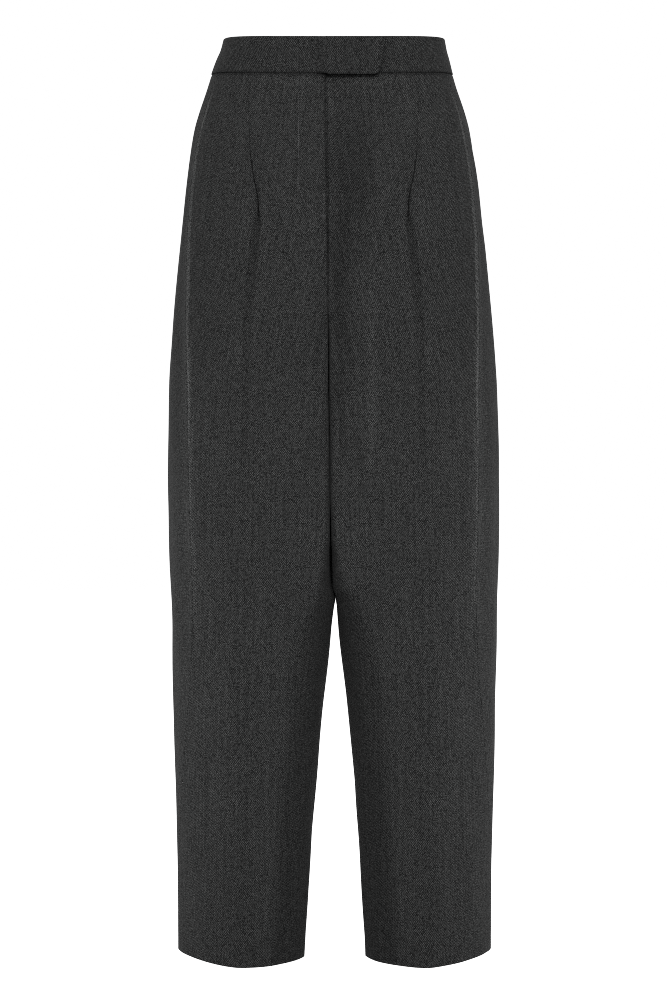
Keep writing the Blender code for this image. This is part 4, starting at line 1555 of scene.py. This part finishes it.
# ------------------------------------------------------------------ stitching
@dataclass(frozen=True)
class Stitches:
    """A run of separate stitches: short bent tubes of thread lying on the cloth."""

    SIDES = 6
    CAPS = ((0, 3, 2, 1), (0, 5, 4, 3))

    name: str
    radius: float = 0.16
    rise: float = 0.12
    sunk: float = 0.05
    taper: float = 0.1
    rings: int = 5

    def build(self, starts: np.ndarray, ends: np.ndarray, out: np.ndarray,
              material: bpy.types.Material) -> bpy.types.Object:
        """Makes the run.

        Each stitch goes straight from its start to its end and is lifted by half a sine
        wave; circles of points round it, smaller at both ends, are joined into a tube.

        Args:
            starts: Where each stitch starts, stitches by three.
            ends: Where it ends.
            out: The cloth's outward normals.
            material: The thread.

        Returns:
            The piece.
        """
        t = np.linspace(0.0, 1.0, self.rings)[None, :, None]
        along = ends - starts
        along = along / np.linalg.norm(along, axis=-1, keepdims=True)
        aside = np.cross(out, along)
        centre = (starts[:, None] + (ends - starts)[:, None] * t
                  + out[:, None] * (self.rise * np.sin(math.pi * t) - self.sunk))
        angle = np.linspace(0, 2 * math.pi, self.SIDES, endpoint=False)[None, None, :, None]
        inside = self.taper + (1 - 2 * self.taper) * t
        size = self.radius * np.sin(math.pi * inside)[..., None]
        points = centre[:, :, None] + size * (np.cos(angle) * aside[:, None, None]
                                              + np.sin(angle) * out[:, None, None])
        number = np.arange(points[..., 0].size).reshape(-1, self.rings, self.SIDES)
        turned = np.roll(number, -1, axis=2)
        tube = np.stack((number[:, :-1], turned[:, :-1], turned[:, 1:], number[:, 1:]), axis=-1)
        caps = [ring[:, cap] for ring in (number[:, 0], number[:, -1, ::-1])
                for cap in self.CAPS]
        quads = np.concatenate([tube.reshape(-1, 4)] + caps)
        obj = mesh_object(self.name, points.reshape(-1, 3), quads)
        return dress(obj, material, "wool")


@dataclass
class Stitching:
    """All the sewing that shows: the fly's curved line, its bar tack and the hems' pricks."""

    right_front: LegPanel
    pitch: float = 2.6
    share: float = 0.78
    # The fly's line: how far it is from the edge, and where it starts, curves in and ends.
    fly_line: float = 30.0
    fly_start: float = BAND_BOTTOM + 3.0
    fly_curve: float = 168.0
    fly_end: float = 213.0
    fly_foot: float = 1.5
    fly_points: int = 200
    tack_across: tuple[float, float] = (1.4, 7.4)
    tack_rise: float = 0.8
    tack_length: float = 2.4
    tack_count: int = 9
    hem_height: float = 13.0
    hem_pitch: float = 5.5
    hem_clear: float = 6.0
    prick: tuple[float, float] = (0.3, 0.9)

    def fly(self, wardrobe: Wardrobe) -> bpy.types.Object:
        """The line beside the fly: straight down, then a quarter ellipse in to the edge.

        Args:
            wardrobe: The finishes.

        Returns:
            The piece.
        """
        straight = np.linspace(self.fly_start, self.fly_curve, self.fly_points)
        turn = np.linspace(0.0, math.pi / 2, self.fly_points)[1:]
        deep = self.fly_end - self.fly_curve
        drops = np.concatenate((straight, self.fly_curve + deep * np.sin(turn)))
        across = np.concatenate((0 * straight + self.fly_line,
                                 self.fly_line * np.cos(turn) + self.fly_foot))
        run = np.concatenate(((0.0,), np.cumsum(np.hypot(np.diff(drops), np.diff(across)))))
        start = np.arange(0.0, run[-1] - self.pitch, self.pitch)
        begin, end = (self.right_front.sample(np.interp(at, run, drops),
                                              np.interp(at, run, across))
                      for at in (start, start + self.share * self.pitch))
        return Stitches("fly_stitching").build(begin[0], end[0], begin[1], wardrobe.thread)

    def bar_tack(self, wardrobe: Wardrobe) -> bpy.types.Object:
        """The tack at the foot of the fly: close stitches side by side.

        Args:
            wardrobe: The finishes.

        Returns:
            The piece.
        """
        across = np.linspace(*self.tack_across, self.tack_count)
        drop = np.full_like(across, self.fly_end - self.tack_rise)
        top = self.right_front.sample(drop, across)
        foot = self.right_front.sample(drop + self.tack_length, across)
        return Stitches("fly_bar_tack", radius=0.26).build(top[0], foot[0], top[1],
                                                           wardrobe.tack)

    def hem(self, panel: LegPanel, wardrobe: Wardrobe) -> bpy.types.Object:
        """The pricks of the blind stitch that holds up one panel's hem.

        Args:
            panel: The panel whose hem it is.
            wardrobe: The finishes.

        Returns:
            The piece.
        """
        drop = HEM - self.hem_height
        tape = Tape(panel.side, np.array((drop,)))
        seam, whole = float(tape.seam()[0, 0]), float(tape.length[0, -1])
        low, high = (0.0, seam) if panel.face is Face.FRONT else (seam, whole)
        at = np.arange(low + self.hem_clear, high - self.hem_clear, self.hem_pitch)
        up, along = self.prick
        begin = panel.sample(np.full_like(at, drop), at)
        end = panel.sample(np.full_like(at, drop - up), at + along)
        return Stitches(f"{panel.name}_hem_pricks", radius=0.15, rise=0.06).build(
            begin[0], end[0], begin[1], wardrobe.thread)


# ------------------------------------------------------------------ zip
@dataclass
class Zip:
    """The zip behind the fly: its woven tape and the two rows of teeth, closed."""

    width: float = 24.0
    over: float = 3.0
    step: float = 5.0
    centre: float = 9.0
    top: float = 60.0
    bottom: float = 196.0
    cloth: float = 0.8
    behind_right: float = 1.5
    behind_left: float = 3.1
    behind_groove: float = 4.7
    groove_from: tuple[float, float] = (-6.5, -4.5)
    columns: int = 30
    rows: int = 90
    rib_height: float = 0.04
    rib_pitch: float = 1.8
    teeth_top: float = 80.0
    teeth_clear: float = 4.0
    tooth_pitch: float = 1.5
    tooth_half: float = 1.5
    tooth_shift: float = 0.55
    tooth_proud: float = 0.18

    def line(self, drop: np.ndarray, across: np.ndarray, depth: np.ndarray) -> np.ndarray:
        """Points behind the fly: across from its edge, and deep from the front's face.

        Args:
            drop: The drops.
            across: Places across from the fly's edge.
            depth: Depths from the front's face.

        Returns:
            Points, in millimetres.
        """
        x = PARTING.read("middle", drop) + across
        y = DEPTH.read("front", drop) + depth
        return np.stack((x, y + 0 * x, GARMENT.level(drop, 0.0, y) + 0 * x), axis=-1)

    def tape(self, wardrobe: Wardrobe) -> bpy.types.Object:
        """The tapes: one strip, stepping back behind the left front's edge and its groove.

        Args:
            wardrobe: The finishes.

        Returns:
            The piece.
        """
        across = np.linspace(-self.width, self.over, self.columns)[None, :]
        step = ease(across, self.step - self.width, 2 * self.step - self.width)
        depth = self.behind_right + (self.behind_left - self.behind_right) * step
        depth = depth + (self.behind_groove - self.behind_left) * ease(across, *self.groove_from)
        ribs = self.rib_height * np.sin(across * 2 * math.pi / self.rib_pitch)
        drop = np.linspace(self.top, self.bottom, self.rows)[:, None]
        outer = self.line(drop, across, depth + ribs)
        inner = self.line(drop, across, depth + self.cloth)
        uv = np.stack((across + 0 * drop, drop + 0 * across), axis=-1) * MM
        obj = shell("zip_tape_cloth", outer, inner, uv, 1)
        dress(obj, wardrobe.tape, "zip_tape", "zip_tape")
        return obj

    def teeth(self, wardrobe: Wardrobe) -> bpy.types.Object:
        """The teeth: short rounded bars, turn about to the left and right of the middle.

        Args:
            wardrobe: The finishes.

        Returns:
            The piece.
        """
        drop = np.arange(self.teeth_top, self.bottom - self.teeth_clear, self.tooth_pitch / 2)
        shift = self.tooth_shift * (-1.0) ** np.arange(len(drop))
        depth = self.behind_left - self.tooth_proud
        start = self.line(drop, shift - self.centre - self.tooth_half, depth)
        end = self.line(drop, shift - self.centre + self.tooth_half, depth)
        out = np.tile((0.0, -1.0, 0.0), (len(drop), 1))
        run = Stitches("zip_teeth", radius=0.34, rise=0.22)
        return run.build(start, end, out, wardrobe.teeth)


# ------------------------------------------------------------------ studio
@dataclass(frozen=True)
class SoftBox:
    """An area light: where it stands, the point it is turned to, its size and its power."""

    name: str
    at: tuple[float, float, float]
    aim: tuple[float, float, float]
    size: tuple[float, float]
    power: float

    def data(self) -> bpy.types.AreaLight:
        """The light's own data.

        Returns:
            The light.
        """
        data = bpy.data.lights.new(self.name, "AREA")
        data.shape, data.energy = "RECTANGLE", self.power
        data.size, data.size_y = self.size
        return data


@dataclass(frozen=True)
class Spot:
    """A soft-edged spot: where it stands, the point it is turned to, its cone and its power."""

    name: str
    at: tuple[float, float, float]
    aim: tuple[float, float, float]
    cone: float
    power: float
    radius: float = 0.1

    def data(self) -> bpy.types.SpotLight:
        """The light's own data.

        Returns:
            The light.
        """
        data = bpy.data.lights.new(self.name, "SPOT")
        data.energy, data.shadow_soft_size = self.power, self.radius
        data.spot_size, data.spot_blend = math.radians(self.cone), 1.0
        return data


@dataclass(frozen=True)
class Studio:
    """The camera, the pale floor and the soft light."""

    distance: float = 2.5
    height: float = -0.523
    frame_height: float = 1.144
    sensor: float = 36.0
    clip_end: float = 60.0
    filter_width: float = 0.9
    floor_z: float = -1.2
    floor_rings: tuple[float, ...] = (0.0, 0.5, 1.0, 2.0, 4.0, 8.0, 14.0)
    floor_spokes: int = 49
    floor_grey: float = 0.9
    floor_glow: float = 0.25
    mat_half: float = 0.45
    mat_reach: tuple[float, float] = (-0.55, 0.25)
    mat_lift: float = 4.0
    mat_grey: float = 0.14
    world: float = 1.0
    lamps: tuple[SoftBox | Spot, ...] = (
        SoftBox("key", (0.15, -2.6, 0.85), (0.0, 0.0, -0.523), (1.5, 1.0), 78.0),
        Spot("right_leg_spot", (-0.25, -3.0, -0.81), (-0.10, 0.0, -0.81), 13.0, 22.0),
        Spot("left_leg_spot", (0.25, -3.0, -0.81), (0.10, 0.0, -0.81), 13.0, 22.0),
        Spot("right_side_spot", (-2.0, -0.3, -0.78), (0.0, 0.0, -0.78), 32.0, 110.0),
        Spot("left_side_spot", (2.0, -0.3, -0.78), (0.0, 0.0, -0.78), 32.0, 110.0),
    )

    def camera(self) -> None:
        """A level camera straight in front, whose frame is the given height at the origin."""
        data = bpy.data.cameras.new("camera")
        data.sensor_width = self.sensor
        data.lens = self.sensor * self.distance / self.frame_height
        data.clip_end = self.clip_end
        obj = bpy.data.objects.new("camera", data)
        obj.location = (0.0, -self.distance, self.height)
        obj.rotation_euler = (math.pi / 2, 0.0, 0.0)
        bpy.context.scene.collection.objects.link(obj)
        bpy.context.scene.camera = obj

    def lights(self) -> None:
        """The lamps, each turned to its point on the garment, and an even white world."""
        for lamp in self.lamps:
            obj = bpy.data.objects.new(lamp.name, lamp.data())
            obj.location = lamp.at
            way = np.array(lamp.aim) - np.array(lamp.at)
            flat = math.hypot(way[0], way[1])
            obj.rotation_euler = (math.pi / 2 + math.atan2(way[2], flat), 0.0,
                                  math.atan2(way[1], way[0]) - math.pi / 2)
            bpy.context.scene.collection.objects.link(obj)
        world = bpy.data.worlds.new("studio")
        world.use_nodes = True
        ground = world.node_tree.nodes["Background"]
        ground.inputs["Color"].default_value = (1.0, 1.0, 1.0, 1.0)
        ground.inputs["Strength"].default_value = self.world
        bpy.context.scene.world = world

    def floor(self) -> None:
        """A plain pale disc under the garment: rings of points round the origin."""
        radius = np.array(self.floor_rings)[:, None] / MM
        angle = np.linspace(0, 2 * math.pi, self.floor_spokes)[None, :]
        outer = np.stack((radius * np.cos(angle), radius * np.sin(angle),
                          self.floor_z / MM + 0 * radius * angle), axis=-1)
        number = np.arange(outer[..., 0].size).reshape(outer.shape[:2])
        quads = np.stack((number[:-1, :-1], number[1:, :-1], number[1:, 1:], number[:-1, 1:]),
                         axis=-1).reshape(-1, 4)
        obj = mesh_object("floor", outer.reshape(-1, 3), quads)
        nodes = Nodes("pale_floor")
        nodes.set(Base_Color=(*(self.floor_grey,) * 3, 1.0), Roughness=0.9)
        nodes.set(Emission_Color=(1.0, 1.0, 1.0, 1.0), Emission_Strength=self.floor_glow)
        obj.data.materials.append(nodes.material)

    def mat(self) -> None:
        """A grey mat before the garment, below the camera's frame, which shades the hems."""
        reach = np.array(self.mat_reach) / MM
        corners = np.array([(-1, 0), (1, 0), (1, 1), (-1, 1)], dtype=float)
        x = corners[:, 0] * self.mat_half / MM
        y = reach[0] + corners[:, 1] * (reach[1] - reach[0])
        z = np.full(len(x), self.floor_z / MM + self.mat_lift)
        obj = mesh_object("mat", np.stack((x, y, z), axis=-1), np.array([[0, 1, 2, 3]]))
        nodes = Nodes("grey_mat")
        nodes.set(Base_Color=(*(self.mat_grey,) * 3, 1.0), Roughness=0.95)
        obj.data.materials.append(nodes.material)

    def build(self) -> None:
        """Sets up the whole studio."""
        self.camera()
        self.lights()
        self.floor()
        self.mat()
        bpy.context.scene.cycles.use_denoising = False
        bpy.context.scene.cycles.filter_width = self.filter_width
        settings = bpy.context.scene.view_settings
        settings.view_transform, settings.look = "Standard", "None"
        LOG.info("studio: %d lights", len(self.lamps))


def main() -> None:
    """Builds the garment piece by piece, then the studio."""
    logging.basicConfig(level=logging.INFO, format="%(name)s: %(message)s")
    Studio().build()
    wardrobe = Wardrobe()
    fine = TurnedEdge(flats=(0.0, 0.5, 1.2, 1.9, 2.6, 3.3, 4.0, 4.7, 5.4, 6.2, 7.4))
    fronts = {side: LegPanel(side, Face.FRONT, edge=fine) for side in Side}
    backs = {side: LegPanel(side, Face.BACK, columns=(40, 48), cut=(0.40, 1.12), cut_area=0.385)
             for side in Side}
    stitching = Stitching(fronts[Side.RIGHT])
    for panel in (*fronts.values(), *backs.values()):
        obj = panel.build(wardrobe)
        pricks = stitching.hem(panel, wardrobe)
        f"waistband_{panel.side.name.lower()}_cloth"
    for side in Side:
        band = Waistband(side)
        band.build(wardrobe)
    stitching.fly(wardrobe)
    stitching.bar_tack(wardrobe)
    zip_fastener = Zip()
    zip_fastener.tape(wardrobe)
    zip_fastener.teeth(wardrobe)
    for name in ("zip_slider", "waist_hook", "waist_bar"):
        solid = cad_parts[name]
        solid.data.materials.clear()
        solid.data.materials.append(wardrobe.steel)


if __name__ == "__main__":
    main()
